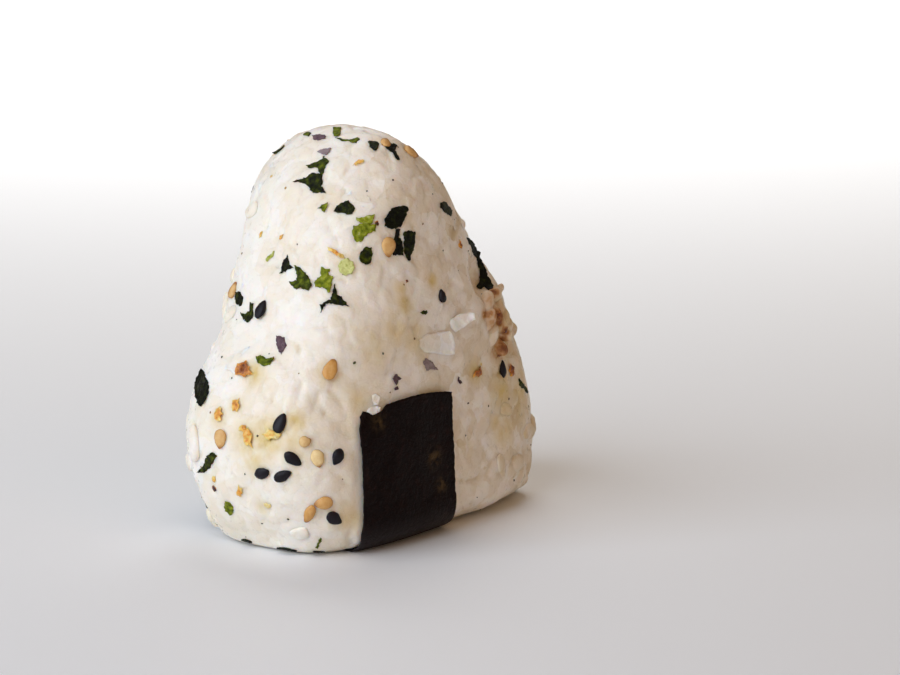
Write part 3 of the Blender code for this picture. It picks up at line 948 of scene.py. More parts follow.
def filled(ring, step):
    """The points and triangles of an outline filled with small triangles of even size."""
    flat = [Vector(point) for point in ring]
    low_x, high_x = min(x for x, _ in ring), max(x for x, _ in ring)
    low_y, high_y = min(y for _, y in ring), max(y for _, y in ring)
    for row, y in enumerate(np.arange(low_y + step, high_y, ROW_STEP * step)):
        for x in np.arange(low_x + step / 2 * (row % 2), high_x, step):
            clear = all((x - a) ** 2 + (y - b) ** 2 > (CLEAR_OF_RIM * step) ** 2 for a, b in ring)
            if clear and inside(ring, x, y):
                flat.append(Vector((x, y)))
    edges = [(k, (k + 1) % len(ring)) for k in range(len(ring))]
    points, _, faces, _, _, _ = geometry.delaunay_2d_cdt(flat, edges, [], 1, MERGED_WITHIN)
    return [tuple(point) for point in points], [tuple(face) for face in faces]


def eased(rises, faces, passes=4):
    """Heights without the small bumps that a stiff plate bridges."""
    for _ in range(passes):
        total, count = np.zeros(len(rises)), np.zeros(len(rises))
        for face in faces:
            for k in face:
                total[k] += rises[list(face)].sum()
                count[k] += len(face)
        mean = total / np.maximum(count, 1)
        rises = 0.5 * (mean + np.maximum(mean, rises))
    return rises


# A plate curls in broad swings and fine crisp ones, this long in mm, and stays off the tray.
SWING_LENGTH = 1.6
CRISP_LENGTH = 0.5
CURL_OFFSET = 0.6
PLATE_FLOOR = 0.1


class Plates:
    """Thin ragged plates of one kind, gathered into one piece."""

    def __init__(self, ground, step, rough, lift, curl, dome=0.0, paler=0.0):
        self.ground = ground
        self.step, self.rough, self.lift, self.curl = step, rough, lift, curl
        self.dome, self.paler = dome, paler
        self.points, self.faces, self.tints = [], [], []

    def lay(self, bearing, height, tint, outline, draw, turn=0.0, seen=True):
        """Drapes one plate over the rice: it rides over the hollows and curls up at its rim."""
        axes = lie(bearing, height, turn)
        side, upright, normal = axes
        if seen:
            outline = as_seen(outline, axes)
        flat, faces = filled(ragged(outline, self.step, self.rough, draw), self.step)
        middle = self.ground.under(on_ball(bearing, height), normal)
        feet = [middle + side * x + upright * y for x, y in flat]
        rises = np.array([(self.ground.under(foot, normal) - foot).dot(normal) for foot in feet])
        points = [foot + normal * rise for foot, rise in zip(feet, eased(rises, faces))]
        self.take(flat, faces, tint, draw, points, normal)

    def face(self, tint, outline, draw, raised=0.0):
        """Lays one plate from its outline in pixels. Raised, it leaves the rice towards its right end."""
        middle = [sum(place) / len(outline) for place in zip(*outline)]
        scaled = [((x - middle[0]) * SCALE, (middle[1] - y) * SCALE) for x, y in outline]
        flat, faces = filled(ragged(scaled, self.step, self.rough, draw), self.step)
        lines = [(middle[0] + x / SCALE, middle[1] - y / SCALE) for x, y in flat]
        offs = [self.ground.seen(*line) for line in lines]
        met = [(x, y, off) for (x, y), off in zip(flat, offs) if off]
        for k, (x, y) in enumerate(flat):
            if not offs[k]:
                offs[k] = min(met, key=lambda other: math.hypot(x - other[0], y - other[1]))[2]
        left = min(x for x, _ in flat)
        offs = -eased(-np.array(offs), faces) - raised * np.array([x - left for x, _ in flat])
        points = [EYE + sight_line(*line) * off for line, off in zip(lines, offs)]
        self.take(flat, faces, tint, draw, points, TOWARDS_VIEWER)

    def take(self, flat, faces, tint, draw, points, normal):
        """Adds a draped plate: lifted off the rice, domed in the middle, curled and paler at its rim."""
        reach = max(math.hypot(x, y) for x, y in flat)
        curl = self.curl * draw.uniform(0.2, 1.0)
        phase = draw.uniform(0, 50)
        start = len(self.points)
        for (x, y), point in zip(flat, points):
            rim = (math.hypot(x, y) / reach) ** 2
            swing = noise.noise(Vector((x / SWING_LENGTH, y / SWING_LENGTH, phase)))
            crisp = noise.noise(Vector((x / CRISP_LENGTH, y / CRISP_LENGTH, phase)))
            dome = self.dome * reach * (1 - rim) * (1 + crisp)
            curled = curl * rim * max(CURL_OFFSET + swing, 0.0)
            lifted = point + normal * (self.lift + dome + curled)
            lifted.z = max(lifted.z, PLATE_FLOOR)
            self.points.append(tuple(lifted))
            self.tints.append(tint * (1 - self.paler * rim))
        self.faces += [tuple(start + k for k in face) for face in faces]

    def piece(self, name, thickness, attribute):
        """All the plates as one piece, with their tint as an attribute."""
        made = new_piece(name, self.points, self.faces)
        mark(made.data, attribute, np.array(self.tints))
        solid_sheet(made, thickness, -1.0)
        return made


FLAP_STEP = 0.4
FLAP_ROUGHNESS = 0.05
FLAP_THICKNESS = 0.2
FLAP_RIM = 0.25
# How far a flap lies off the rice and curls up at its rim. Those spread by a rule lie flush.
SEEN_LIFT, SEEN_CURL = 0.12, 0.5
RULED_LIFT, RULED_CURL = -0.06, 0.12
RULED_FLAPS = 20
FLAPS_APART = 8.0
FLAP_HEIGHTS = (4, 70)
FLAP_LENGTHS = (5.0, 7.5)
FLAP_WIDTHS = (3.2, 4.6)
FLAP_WHITENESS = (0.3, 1.0)
SOAKED_SHARE = 0.8
core_tree = tree_of(points_of(core.data))


def soak(mesh, rim):
    """Gives grains the stains of the rice they lie on, the painted shade of their place, and its tone where
    they rise less than a rim.
    """
    points = points_of(mesh)
    near = [core_tree.find(point)[1] for point in points]
    above = ((points - points_of(core.data)[near]) * normals_of(core.data)[near]).sum(axis=1)
    own = smooth_step(above / rim)
    below = marks_of(core.data, "white")[near]
    mark(mesh, "gap", marks_of(core.data, "gap")[near] * (1 - own))
    mark(mesh, "stain", stained(points) * (1 - own * (1 - SOAKED_SHARE)))
    mark(mesh, "moist", moist(points))
    mixed = below + (marks_of(mesh, "white") - below) * own
    mesh.attributes["white"].data.foreach_set("value", mixed.astype(np.float32))


def smeared_grains(ground, draw):
    """The plates seen in the photograph, and others spread all round by a rule."""
    plates = Plates(ground, FLAP_STEP, FLAP_ROUGHNESS, SEEN_LIFT, SEEN_CURL)
    for white, raised, outline in FACED_FLAPS:
        plates.face(white, outline, draw, raised)
    plates.lift, plates.curl = RULED_LIFT, RULED_CURL
    places = []
    while len(places) < RULED_FLAPS:
        bearing, height = draw.uniform(-180, 180), draw.uniform(*FLAP_HEIGHTS)
        point = on_ball(bearing, height)
        apart = all((point - other).length > FLAPS_APART for other in places)
        if not apart or under_nori(np.array([point]), FLAPS_APART)[0] > 0:
            draw.random()
            continue
        places.append(point)
        outline = torn_outline(draw.uniform(*FLAP_LENGTHS), draw.uniform(*FLAP_WIDTHS), draw)
        white, turn = draw.uniform(*FLAP_WHITENESS), draw.uniform(0, 180)
        plates.lay(bearing, height, white, outline, draw, turn, False)
    made = plates.piece("smeared_grains", FLAP_THICKNESS, "white")
    made.data.shade_smooth()
    soak(made.data, FLAP_RIM)
    return made


ground = Ground(core, nori)
flaps = smeared_grains(ground, random.Random(SEED))
flaps.data.materials.append(rice_material("smeared rice", GRAIN_GLOW, SMEARED_WHITE_AND_HIGHLIGHT))
finish_piece(flaps, "rice_ball")
ground.include(flaps)

# Stained clump
# A clump of the same rice at the right edge that stands a millimetre proud, its grains browned by
# the seasoning that was rubbed into it. Rows: middle in pixels, length, width, lean from upright.
CLUMP_GRAINS = (
    (491.0, 297.0, 4.6, 2.6, 60), (486.0, 304.0, 5.0, 2.8, 20), (497.0, 304.0, 4.4, 2.4, -20),
    (493.0, 312.0, 5.0, 2.8, -40), (502.0, 314.0, 4.4, 2.5, -25), (487.0, 321.0, 5.0, 2.8, 30),
    (497.0, 323.0, 4.8, 2.8, -60), (505.0, 322.0, 4.0, 2.6, -35), (510.5, 329.5, 2.8, 2.6, 30),
    (500.0, 333.0, 5.0, 2.6, -70), (491.0, 334.0, 5.0, 2.8, 10), (506.5, 344.0, 4.4, 2.6, -15),
    (498.0, 346.0, 4.6, 2.6, -50),
)
# The one browned grain that sticks out of the clump like a finger
CLUMP_FINGER = ((498.3, 290.4, 2.8, 1.6, 42),)
# Where seasoning was rubbed in: pixel, reach in millimetres, strength
RUBBED_SPOTS = (
    ((485.0, 315.0), 1.0, 0.5),
    ((490.6, 314.0), 0.8, 0.55),
    ((499.0, 315.0), 1.3, 0.85),
    ((498.0, 310.0), 3.4, 0.22),
    ((491.4, 324.0), 1.3, 0.4),
    ((499.8, 322.6), 0.9, 0.7),
    ((505.9, 331.8), 0.9, 0.95),
    ((502.8, 339.4), 1.0, 0.6),
    ((503.6, 348.0), 1.7, 0.7),
    ((500.0, 352.0), 2.6, 0.35),
    ((499.3, 355.6), 0.5, 1.0),
    ((493.5, 292.5), 1.1, 0.7),
    ((489.0, 300.0), 1.6, 0.3),
    ((502.9, 286.4), 0.6, 0.6),
)
# How much longer than wide a rubbed spot is along the rice that slants away from the viewer
RUBBED_STRETCH = 2.4
CLUMP_DEPTH = 1.9
CLUMP_PROUD = 0.35
CLUMP_TILT = 0.25
CLUMP_RIM = 0.3
CLUMP_REACH = 40
CLUMP_WHITENESS = 0.1
FINGER_WHITENESS = 0.0
# The seasoning that is rubbed in everywhere on the clump and on its finger
CLUMP_BROWNED = 0.04
FINGER_BROWNED = 0.2


def beside(x, y):
    """The point behind a pixel; beyond the edge of the ball, as deep as the edge is."""
    for step in range(CLUMP_REACH):
        off = ground.seen(x - step, y)
        if off:
            break
    return EYE + sight_line(x, y) * (off or VIEW_DISTANCE)


def clump_places(rows, draw):
    """Where the grains of the clump lie: they face the viewer and are half sunk."""
    places = []
    for x, y, length, width, lean in rows:
        turned = Matrix.Rotation(-math.radians(lean), 3, TOWARDS_VIEWER)
        tilt = Matrix.Rotation(draw.uniform(-CLUMP_TILT, CLUMP_TILT), 3, PICTURE_UP)
        axes = [tilt @ turned @ axis for axis in (PICTURE_UP, -PICTURE_RIGHT, TOWARDS_VIEWER)]
        middle = beside(x, y) + TOWARDS_VIEWER * (CLUMP_PROUD * draw.uniform(-1, 1))
        places.append((middle, axes, (length, width, CLUMP_DEPTH), draw.random()))
    return places


def join_xyz(sheet, x, y, z):
    return sheet.add("ShaderNodeCombineXYZ", None, {0: x, 1: y, 2: z})


def named(sheet, name, kind="FLOAT"):
    """An attribute of the geometry, in a Geometry Nodes tree."""
    return sheet.add("GeometryNodeInputNamedAttribute", {"data_type": kind}, {"Name": name})


def grow(name, source, build, values):
    """Runs a Geometry Nodes tree on an object and leaves what it makes as a plain mesh object."""
    tree = bpy.data.node_groups.new(name, "GeometryNodeTree")
    face = tree.interface
    face.new_socket("Geometry", in_out="INPUT", socket_type="NodeSocketGeometry")
    sockets = {}
    for title, value in values.items():
        kind = "NodeSocketInt" if isinstance(value, int) else "NodeSocketFloat"
        if isinstance(value, bpy.types.Material):
            kind = "NodeSocketMaterial"
        sockets[title] = face.new_socket(title, in_out="INPUT", socket_type=kind)
    face.new_socket("Geometry", in_out="OUTPUT", socket_type="NodeSocketGeometry")
    sheet = Sheet(tree)
    entry = tree.nodes.new("NodeGroupInput")
    given = {socket.name: Wire(sheet, socket) for socket in entry.outputs if socket.name}
    made = build(sheet, given)
    real = sheet.add("GeometryNodeRealizeInstances", None, {"Geometry": made})
    dressing = {"Geometry": real, "Material": given["Material"]}
    finished = sheet.add("GeometryNodeSetMaterial", None, dressing)
    sheet.join(tree.nodes.new("NodeGroupOutput").inputs[0], finished)
    modifier = source.modifiers.new(name, "NODES")
    modifier.node_group = tree
    for title, value in values.items():
        modifier[sockets[title].identifier] = value
    bpy.context.view_layer.update()
    graph = bpy.context.evaluated_depsgraph_get()
    mesh = bpy.data.meshes.new_from_object(source.evaluated_get(graph))
    source.modifiers.remove(modifier)
    bpy.context.view_layer.update()
    mesh.name = name
    piece = bpy.data.objects.new(name, mesh)
    bpy.context.scene.collection.objects.link(piece)
    return piece


def unit_ball(sheet, segments=20, rings=14):
    """A smooth ball of unit size, and the coordinates of its points."""
    inputs = {"Segments": segments, "Rings": rings, "Radius": 0.5}
    ball = sheet.add("GeometryNodeMeshUVSphere", None, inputs)
    ball = sheet.add("GeometryNodeSetShadeSmooth", None, {"Geometry": ball})
    place = sheet.add("ShaderNodeSeparateXYZ", None, {0: sheet.add("GeometryNodeInputPosition")})
    return ball, [Wire(sheet, socket) for socket in place.socket.node.outputs]


def uneven(sheet, geometry, reach, push):
    """Moves every point by noise whose bumps have a reach and a push in millimetres."""
    inputs = {"Vector": sheet.add("GeometryNodeInputPosition"), "Scale": 1 / (reach * MM), "Detail": 1.0}
    cloud = sheet.add("ShaderNodeTexNoise", None, inputs, output="Color")
    centred = sheet.add("ShaderNodeVectorMath", {"operation": "SUBTRACT"}, {0: cloud, 1: (0.5, 0.5, 0.5)})
    moved = sheet.add("ShaderNodeVectorMath", {"operation": "SCALE"}, {0: centred, "Scale": push * MM})
    return sheet.add("GeometryNodeSetPosition", None, {"Geometry": geometry, "Offset": moved})


GRAIN_FULLNESS = 0.9
GRAIN_BEND = 0.3
# The dents of a thing that was pressed, and how deep they are, in mm
DENT_REACH = 1.2
DENT_DEPTH = 0.35


def grain_shape(sheet):
    """One cooked grain of unit size: blunt ends and a slight bend."""
    ball, (x, y, z) = unit_ball(sheet)
    blunt = z * z * GRAIN_FULLNESS + 1.0
    moved = join_xyz(sheet, z, y * blunt + z * z * GRAIN_BEND, x * blunt)
    return sheet.add("GeometryNodeSetPosition", None, {"Geometry": ball, "Position": moved})


def sow(name, shape, material, places):
    """One shape laid at many places: each has a middle, axes, a size and a tint."""
    mesh = bpy.data.meshes.new(name)
    mesh.from_pydata([middle * MM for middle, _, _, _ in places], [], [])
    turns = [Matrix(axes).transposed().to_euler() for _, axes, _, _ in places]
    columns = {"facing": turns, "girth": [Vector(size) * MM for _, _, size, _ in places]}
    for title, values in columns.items():
        layer = mesh.attributes.new(title, "FLOAT_VECTOR", "POINT")
        layer.data.foreach_set("vector", np.array([tuple(value) for value in values]).ravel())
    mark(mesh, "tint", np.array([tint for _, _, _, tint in places]))
    source = bpy.data.objects.new(name + "_places", mesh)
    bpy.context.scene.collection.objects.link(source)

    def build(sheet, given):
        turned = named(sheet, "facing", "FLOAT_VECTOR")
        inputs = {
            "Points": given["Geometry"],
            "Instance": shape(sheet),
            "Rotation": sheet.add("FunctionNodeEulerToRotation", None, {0: turned}),
            "Scale": named(sheet, "girth", "FLOAT_VECTOR"),
        }
        laid = sheet.add("GeometryNodeInstanceOnPoints", None, inputs)
        real = sheet.add("GeometryNodeRealizeInstances", None, {"Geometry": laid})
        return uneven(sheet, real, DENT_REACH, DENT_DEPTH)

    piece = grow(name, source, build, {"Material": material})
    bpy.data.objects.remove(source)
    return piece


def rub_in(mesh, marks, least=0.0):
    """Marks how deeply the seasoning browned each point of the mesh, from least to 1."""
    points = points_of(mesh)
    rubbed = np.full(len(points), least)
    for (x, y), reach, strength in marks:
        offset = points - np.array(beside(x, y))
        off = offset @ np.array(TOWARDS_VIEWER)
        apart = (offset**2).sum(axis=1) - off**2 * (1 - 1 / RUBBED_STRETCH**2)
        rubbed = np.maximum(rubbed, strength * np.exp(-apart / (reach * reach)))
    mark(mesh, "rubbed", rubbed)


def sow_clump(name, rows, white, draw):
    """Grains of the clump, of one whiteness."""
    material = rice_material(name.replace("_", " "), GRAIN_GLOW)
    piece = sow(name, grain_shape, material, clump_places(rows, draw))
    mark(piece.data, "white", np.full(len(piece.data.vertices), white))
    soak(piece.data, CLUMP_RIM)
    finish_piece(piece, "rice_ball")
    return piece


clump_draw = random.Random(SEED)
clump = sow_clump("clump_grains", CLUMP_GRAINS, CLUMP_WHITENESS, clump_draw)
finger = sow_clump("clump_finger", CLUMP_FINGER, FINGER_WHITENESS, clump_draw)
ground.include(clump)
rub_in(core.data, RUBBED_SPOTS)
rub_in(clump.data, RUBBED_SPOTS, CLUMP_BROWNED)
rub_in(finger.data, RUBBED_SPOTS, FINGER_BROWNED)

# Black sesame
# Whole black sesame seeds: flat teardrops a little over 3 mm long with a dull purple-black coat,
# stuck to the damp rice. Each row is a bearing, height, length, width and turn from upright.
BLACK_SESAME = (
    (-94, 43, 3.6, 2.1, 10),
    (-76, 25, 3.8, 2.2, 20),
    (-72, 19, 3.6, 2.1, 125),
    (-75, 16, 3.5, 2.0, 63),
    (-81, 16, 3.3, 2.1, 65),
    (-61, 19, 3.2, 2.3, 215),
    (-64, 8, 3.5, 2.2, 125),
    (-6, 44, 2.5, 1.7, 5),
    (44, 27, 3.5, 1.7, -3),
)
SEED_THICKNESS = 1.2
SEED_SPREAD = (0.9, 1.1)
SEED_PROUD = 0.22
SEED_TILT = 0.12
SEED_ROLL = 0.15

# The sides that are not seen carry as many toppings, spread by a rule. Those above the top height
# are left out, because they would show over the crown, where the rice of the photo is plain.
HIDDEN_SEED = 11
HIDDEN_BEARINGS = (68, 212)
HIDDEN_HEIGHTS = (5, 71)
HIDDEN_TOP = 69.0
HIDDEN_APART = 7.0
HIDDEN_TRIES = 160
HIDDEN_SHARES = (("black", 0.16), ("golden", 0.36), ("leaf", 0.78), ("crumb", 1.0))
HIDDEN_LENGTHS = (2.8, 3.6)
HIDDEN_LEAF_LENGTHS = (2.8, 5.0)
HIDDEN_SLENDERNESS = (0.58, 0.75)


def hidden_toppings(draw):
    """Toppings for the sides that are not seen, kept apart from each other and from the nori."""
    chosen = {name: [] for name, _ in HIDDEN_SHARES}
    places = []
    for _ in range(HIDDEN_TRIES):
        bearing = draw.uniform(*HIDDEN_BEARINGS)
        height = draw.uniform(*HIDDEN_HEIGHTS)
        pick = draw.random()
        kind = next(name for name, limit in HIDDEN_SHARES if pick < limit)
        length = draw.uniform(*(HIDDEN_LEAF_LENGTHS if kind == "leaf" else HIDDEN_LENGTHS))
        width = length * draw.uniform(*HIDDEN_SLENDERNESS)
        turn = draw.uniform(0, 360)
        point = on_ball(bearing, height)
        if height > HIDDEN_TOP or under_nori(np.array([point]), 2 * length)[0] > 0:
            continue
        if any((point - other).length < HIDDEN_APART for other in places):
            continue
        places.append(point)
        chosen[kind].append((bearing, height, length, width, turn))
    return chosen


hidden = hidden_toppings(random.Random(HIDDEN_SEED))


def seed_shape(sheet):
    """A flat teardrop of unit size, its point towards +Y, with its own length kept as along."""
    ball, (x, y, z) = unit_ball(sheet)
    narrowing = 1.0 - z * 0.5 - z * z * 0.5
    moved = join_xyz(sheet, y * narrowing, z, x * narrowing)
    kept = {"Geometry": ball, "Name": "along", "Value": z}
    ball = sheet.add("GeometryNodeStoreNamedAttribute", {"data_type": "FLOAT"}, kept)
    return sheet.add("GeometryNodeSetPosition", None, {"Geometry": ball, "Position": moved})


def seed_places(rows, draw):
    """Where seeds lie on the rice: a little sunk and tilted."""
    places = []
    for bearing, height, length, width, turn, *pale in rows:
        side, upright, normal = lie(bearing, height, turn)
        foot = ground.under(on_ball(bearing, height), normal)
        tilt = Matrix.Rotation(draw.uniform(-SEED_TILT, SEED_TILT), 3, side)
        roll = Matrix.Rotation(draw.uniform(-SEED_ROLL, SEED_ROLL), 3, upright)
        axes = [tilt @ roll @ axis for axis in (side, upright, normal)]
        size = (width, length, SEED_THICKNESS * draw.uniform(*SEED_SPREAD))
        tint = draw.random()
        places.append((foot + normal * SEED_PROUD, axes, size, pale[0] if pale else tint))
    return places


def seed_material(name, body, rim, rub, roughness, sheen):
    """A seed's coat: darker at its point, with painted shade at its rim where it turns away from view,
    rubbed in places, finely pitted.
    """
    material, sheet, shader = new_material(name)
    pointed = sheet.attribute("along").between(0.25, 0.5)
    # Painted shade: the coat darkens towards its rim, where it turns away from view
    edge = sheet.add("ShaderNodeLayerWeight", None, {"Blend": 0.45}, output="Facing").between(0.3, 0.85)
    paler = sheet.attribute("tint") * 0.9 + sheet.blotches(0.7) * 0.7 - 0.4
    colour = sheet.mix(paler.clamped(), body, rub)
    colour = sheet.mix((pointed + edge * 0.8).clamped(), colour, rim)
    pits = sheet.bump(sheet.blotches(0.25, 3.0), 0.035, sheet.bump(sheet.blotches(0.9), 0.08))
    inputs = {"Base Color": colour, "Roughness": roughness, "Normal": pits, "Specular IOR Level": sheen}
    set_shader(sheet, shader, inputs)
    return material


black_coat = seed_material(
    "black sesame coat", (0.0045, 0.003, 0.006), (0.002, 0.0015, 0.003), (0.012, 0.008, 0.013), 0.45, 0.25
)
draw = random.Random(SEED)
black_places = seed_places(BLACK_SESAME + tuple(hidden["black"]), draw)
black = sow("black_sesame", seed_shape, black_coat, black_places)
finish_piece(black, "rice_ball")

# Golden sesame
# Whole roasted sesame seeds of the same size and form, tan to golden, their point a darker brown.
# Rows as for the black ones, with a last number from 0, orange brown, to 1, cream.
GOLDEN_SESAME = (
    (-115, 45, 3.4, 2.1, 20, 0.5),
    (-36, 54, 3.7, 2.7, 190, 0.35),
    (14, 69, 3.2, 2.2, 150, 0.3),
    (-9, 71, 2.6, 2.0, 40, 0.3),
    (-64, 34, 4.0, 2.5, 25, 0.1),
    (-94, 21, 3.5, 2.5, 180, 0.4),
    (-69, 22, 2.2, 2.0, 80, 0.7),
    (-66, 19, 3.3, 2.4, 170, 1.0),
    (-66, 11, 3.4, 2.3, 265, 0.25),
    (-70, 9, 3.7, 1.9, 203, 0.1),
)
golden_coat = seed_material(
    "golden sesame coat", (0.62, 0.31, 0.08), (0.36, 0.14, 0.03), (0.86, 0.66, 0.33), 0.45, 0.4
)
golden_places = seed_places(GOLDEN_SESAME + tuple(hidden["golden"]), draw)
golden = sow("golden_sesame", seed_shape, golden_coat, golden_places)
finish_piece(golden, "rice_ball")

# Dried leaf
# Torn flakes of dried green leaf and seaweed, brittle, under a fifth of a millimetre thick, softened
# by the damp rice and curled at their rims. Near black, dark green, or pale where the leaf is thin.
LEAF_THICKNESS = 0.16
LEAF_STEP = 0.32
LEAF_ROUGHNESS = 0.13
LEAF_LIFT = 0.12
LEAF_CURL = 0.55
FACED_LIFT = 0.45
# Each row is a bearing, a height, a hue from 0 for black to 1 for pale, and an outline in mm, right
# and up as the picture shows it.
DARK_LEAF = (
    (-77, 65, 0.22, (
        (-3.9, 0.2), (-1.6, 0.8), (-0.5, 1.6), (1.4, 1.4), (1.1, -0.5),
        (1.9, -2.0), (0.8, -1.9), (-0.4, -1.9), (-1.6, -0.3),
    )),
    (-74, 68, 0.4, (
        (-3.0, -0.3), (-1.1, 0.3), (0.2, 1.2), (1.1, 0.4), (0.4, -0.8),
        (-0.1, -2.2), (-0.7, -1.4), (-0.9, -0.7), (-2.4, -0.8),
    )),
    (-56, 61, 0.2, (
        (-2.0, -0.6), (-1.7, 0.2), (-0.6, 0.9), (0.6, 1.5),
        (1.8, 0.1), (1.4, -0.8), (0.5, -1.2), (-0.6, -0.8),
    )),
    (-28, 59, 0.04, (
        (-1.7, -0.2), (-0.5, 1.7), (1.3, 2.3), (2.2, 1.7),
        (1.8, 0.0), (1.1, -1.6), (-0.4, -2.0), (-2.0, -1.6),
    )),
    (-30, 54, 0.06, (
        (-0.3, 3.1), (0.5, 3.1), (0.5, 1.6), (1.1, 0.8), (1.2, -1.5), (-0.8, -1.6), (-0.9, 0.5), (-0.3, 1.4),
    )),
    (-22, 54, 0.16, (
        (-1.1, 2.1), (-0.1, 2.6), (1.1, 2.1), (1.0, -0.6),
        (0.2, -2.9), (-0.2, -2.7), (-0.7, -1.1), (-0.7, 0.8),
    )),
    (-48, 53, 0.3, (
        (-0.9, 0.6), (-0.2, 1.4), (0.8, 1.2), (1.1, 0.1), (0.7, -1.3), (-0.2, -1.8), (-1.2, -1.0),
    )),
    (-86, 51, 0.1, ((0.3, 1.5), (0.8, 0.0), (1.4, -0.7), (0.0, -1.1), (-1.1, -1.5), (-0.8, -0.2))),
    (-64, 46, 0.12, (
        (-0.1, 2.4), (0.3, 0.5), (1.2, 0.1), (1.7, -0.8), (2.5, -1.6), (1.0, -1.4),
        (-0.4, -1.2), (-1.7, -1.2), (-2.5, -2.7), (-2.7, -1.4), (-1.5, -0.7), (-0.8, -0.4),
    )),
    (-100, 42, 0.25, (
        (0.5, 1.9), (1.1, 1.6), (0.9, -0.6), (0.0, -1.7), (-1.1, -0.8), (-1.5, 0.2), (-0.5, 0.0), (0.3, 0.5),
    )),
    (-108, 44, 0.2, ((-0.8, 1.2), (0.2, 1.4), (0.8, 0.2), (0.3, -1.4), (-0.6, -0.8))),
    (20, 59, 0.2, (
        (-1.1, 0.9), (-0.2, 1.1), (0.4, 0.4), (1.3, -0.3), (0.9, -1.5), (-0.5, -0.7), (-1.1, 0.0),
    )),
    (-22, 71, 0.2, ((-1.0, 0.8), (0.1, 0.8), (0.9, 0.4), (0.8, -0.6), (0.1, -1.1), (-0.7, -0.2))),
    (-7, 70, 0.03, (
        (-2.1, 1.1), (-1.0, 1.1), (0.4, 0.9), (0.8, 0.7), (0.4, -0.4),
        (1.3, -1.8), (0.8, -1.9), (-0.2, -0.6), (-1.2, 0.1),
    )),
    (-144, 69, 0.3, ((-1.1, -0.7), (-0.3, 0.1), (1.0, 0.8), (1.0, 0.6), (0.1, -0.2), (-0.8, -0.8))),
    (-100, 16, 0.3, (
        (1.1, 2.0), (1.8, 1.4), (0.7, -0.8), (-0.4, -1.7), (-1.9, -1.8), (-0.5, -0.4), (0.1, 1.3),
    )),
    (-22, 41.8, 0.35, ((-0.7, -0.1), (0.1, 0.3), (0.6, 0.3), (0.6, -0.3), (0.0, -0.4))),
)
GREEN_LEAF = (
    (-69, 61, 0.62, ((-0.8, -0.1), (-0.2, 0.4), (0.9, 0.8), (0.7, -0.3), (0.2, -1.0), (-0.2, -0.3))),
    (-46, 59, 0.8, (
        (-1.5, 0.3), (-0.1, 0.6), (1.8, 1.0), (1.4, -0.2), (0.8, -1.1), (-0.1, -0.8), (-1.4, -0.2),
    )),
    (-48, 57, 0.68, (
        (-1.8, 0.9), (-0.1, 1.4), (2.3, 1.2), (2.1, 0.1),
        (0.8, -0.5), (-0.3, -1.8), (-1.0, -1.9), (-1.8, -0.7),
    )),
    (-78, 49, 0.45, (
        (-1.1, 2.2), (0.0, 1.6), (1.2, 0.5), (2.1, -1.4), (1.4, -2.3),
        (0.0, -1.9), (-1.1, -2.0), (-2.1, -0.7), (-0.7, -0.5), (-0.7, 0.8),
    )),
    (-68, 49, 0.7, (
        (-0.5, 2.1), (1.1, 1.8), (0.8, 0.8), (1.7, 0.5), (1.1, -2.6),
        (0.0, -1.5), (-1.6, -1.3), (-1.6, -0.2), (-0.5, 0.6),
    )),
    (-58, 51, 1.0, (
        (-1.4, 0.2), (-1.0, 1.1), (0.2, 1.5), (1.2, 1.0),
        (1.5, -0.1), (0.9, -1.2), (-0.4, -1.5), (-1.2, -0.8),
    )),
    (-80, 73, 0.6, ((-0.4, 0.6), (0.9, 0.6), (0.8, -0.6), (0.1, -1.1), (-0.5, -0.5))),
    (-42, 72, 0.5, (
        (-3.1, 0.5), (-2.0, 0.1), (-0.6, -0.1), (1.0, 0.4),
        (1.4, -0.1), (0.7, -0.5), (-0.6, -0.3), (-2.0, -0.2),
    )),
    (-138, 72, 0.5, ((-0.5, 0.1), (0.3, 0.5), (1.1, 0.1), (0.7, -0.5))),
    (-96, 8, 0.65, (
        (-0.6, 1.3), (0.1, 1.1), (0.7, 0.3), (0.7, -0.9), (0.2, -1.3), (-0.6, -0.4), (-0.9, 0.3),
    )),
    (-86, 35, 0.55, (
        (-1.6, 0.6), (-0.7, 0.8), (0.4, 0.3), (1.8, 0.5), (1.2, -0.8), (0.1, -1.2), (-1.0, -0.5),
    )),
    (-70, 3.0, 0.5, ((-0.5, -0.9), (0.0, 0.1), (0.4, 0.9), (0.7, 0.6), (0.2, -0.3), (-0.1, -1.0))),
    (-96, 52, 0.9, ((-0.9, -0.8), (-0.2, 0.2), (0.9, 0.9), (0.4, -0.2), (-0.5, -0.9))),
)
PURPLE_LEAF = (
    (-104, 72, 0.4, ((-1.0, 0.1), (0.2, 0.4), (1.3, 0.2), (1.3, -0.3), (-0.1, -0.6), (-0.9, -0.5))),
    (-78, 70, 0.7, ((-1.2, -0.1), (0.0, 0.5), (1.3, 0.4), (1.1, -0.3), (0.3, -0.7))),
    (-18, 32, 0.8, (
        (-1.3, 0.5), (-0.7, 1.2), (0.4, 0.4), (0.9, -0.2), (1.5, -1.0), (0.2, -0.8), (-0.8, -1.1),
    )),
    (-82, 38, 0.3, ((-0.8, 1.3), (0.6, 1.0), (1.0, -0.4), (0.0, -1.9), (-0.7, -0.7))),
    (-40, 31, 0.3, ((-0.8, 0.1), (0.3, 0.8), (0.8, 0.0), (0.0, -1.0))),
    (-40, 29.2, 0.2, ((-0.4, 0.1), (0.2, 0.4), (0.4, -0.1), (-0.1, -0.3))),
    (7, 27.6, 0.2, ((-0.4, 0.6), (0.0, 0.2), (0.4, -0.5), (0.1, -0.6), (-0.3, 0.0))),
)
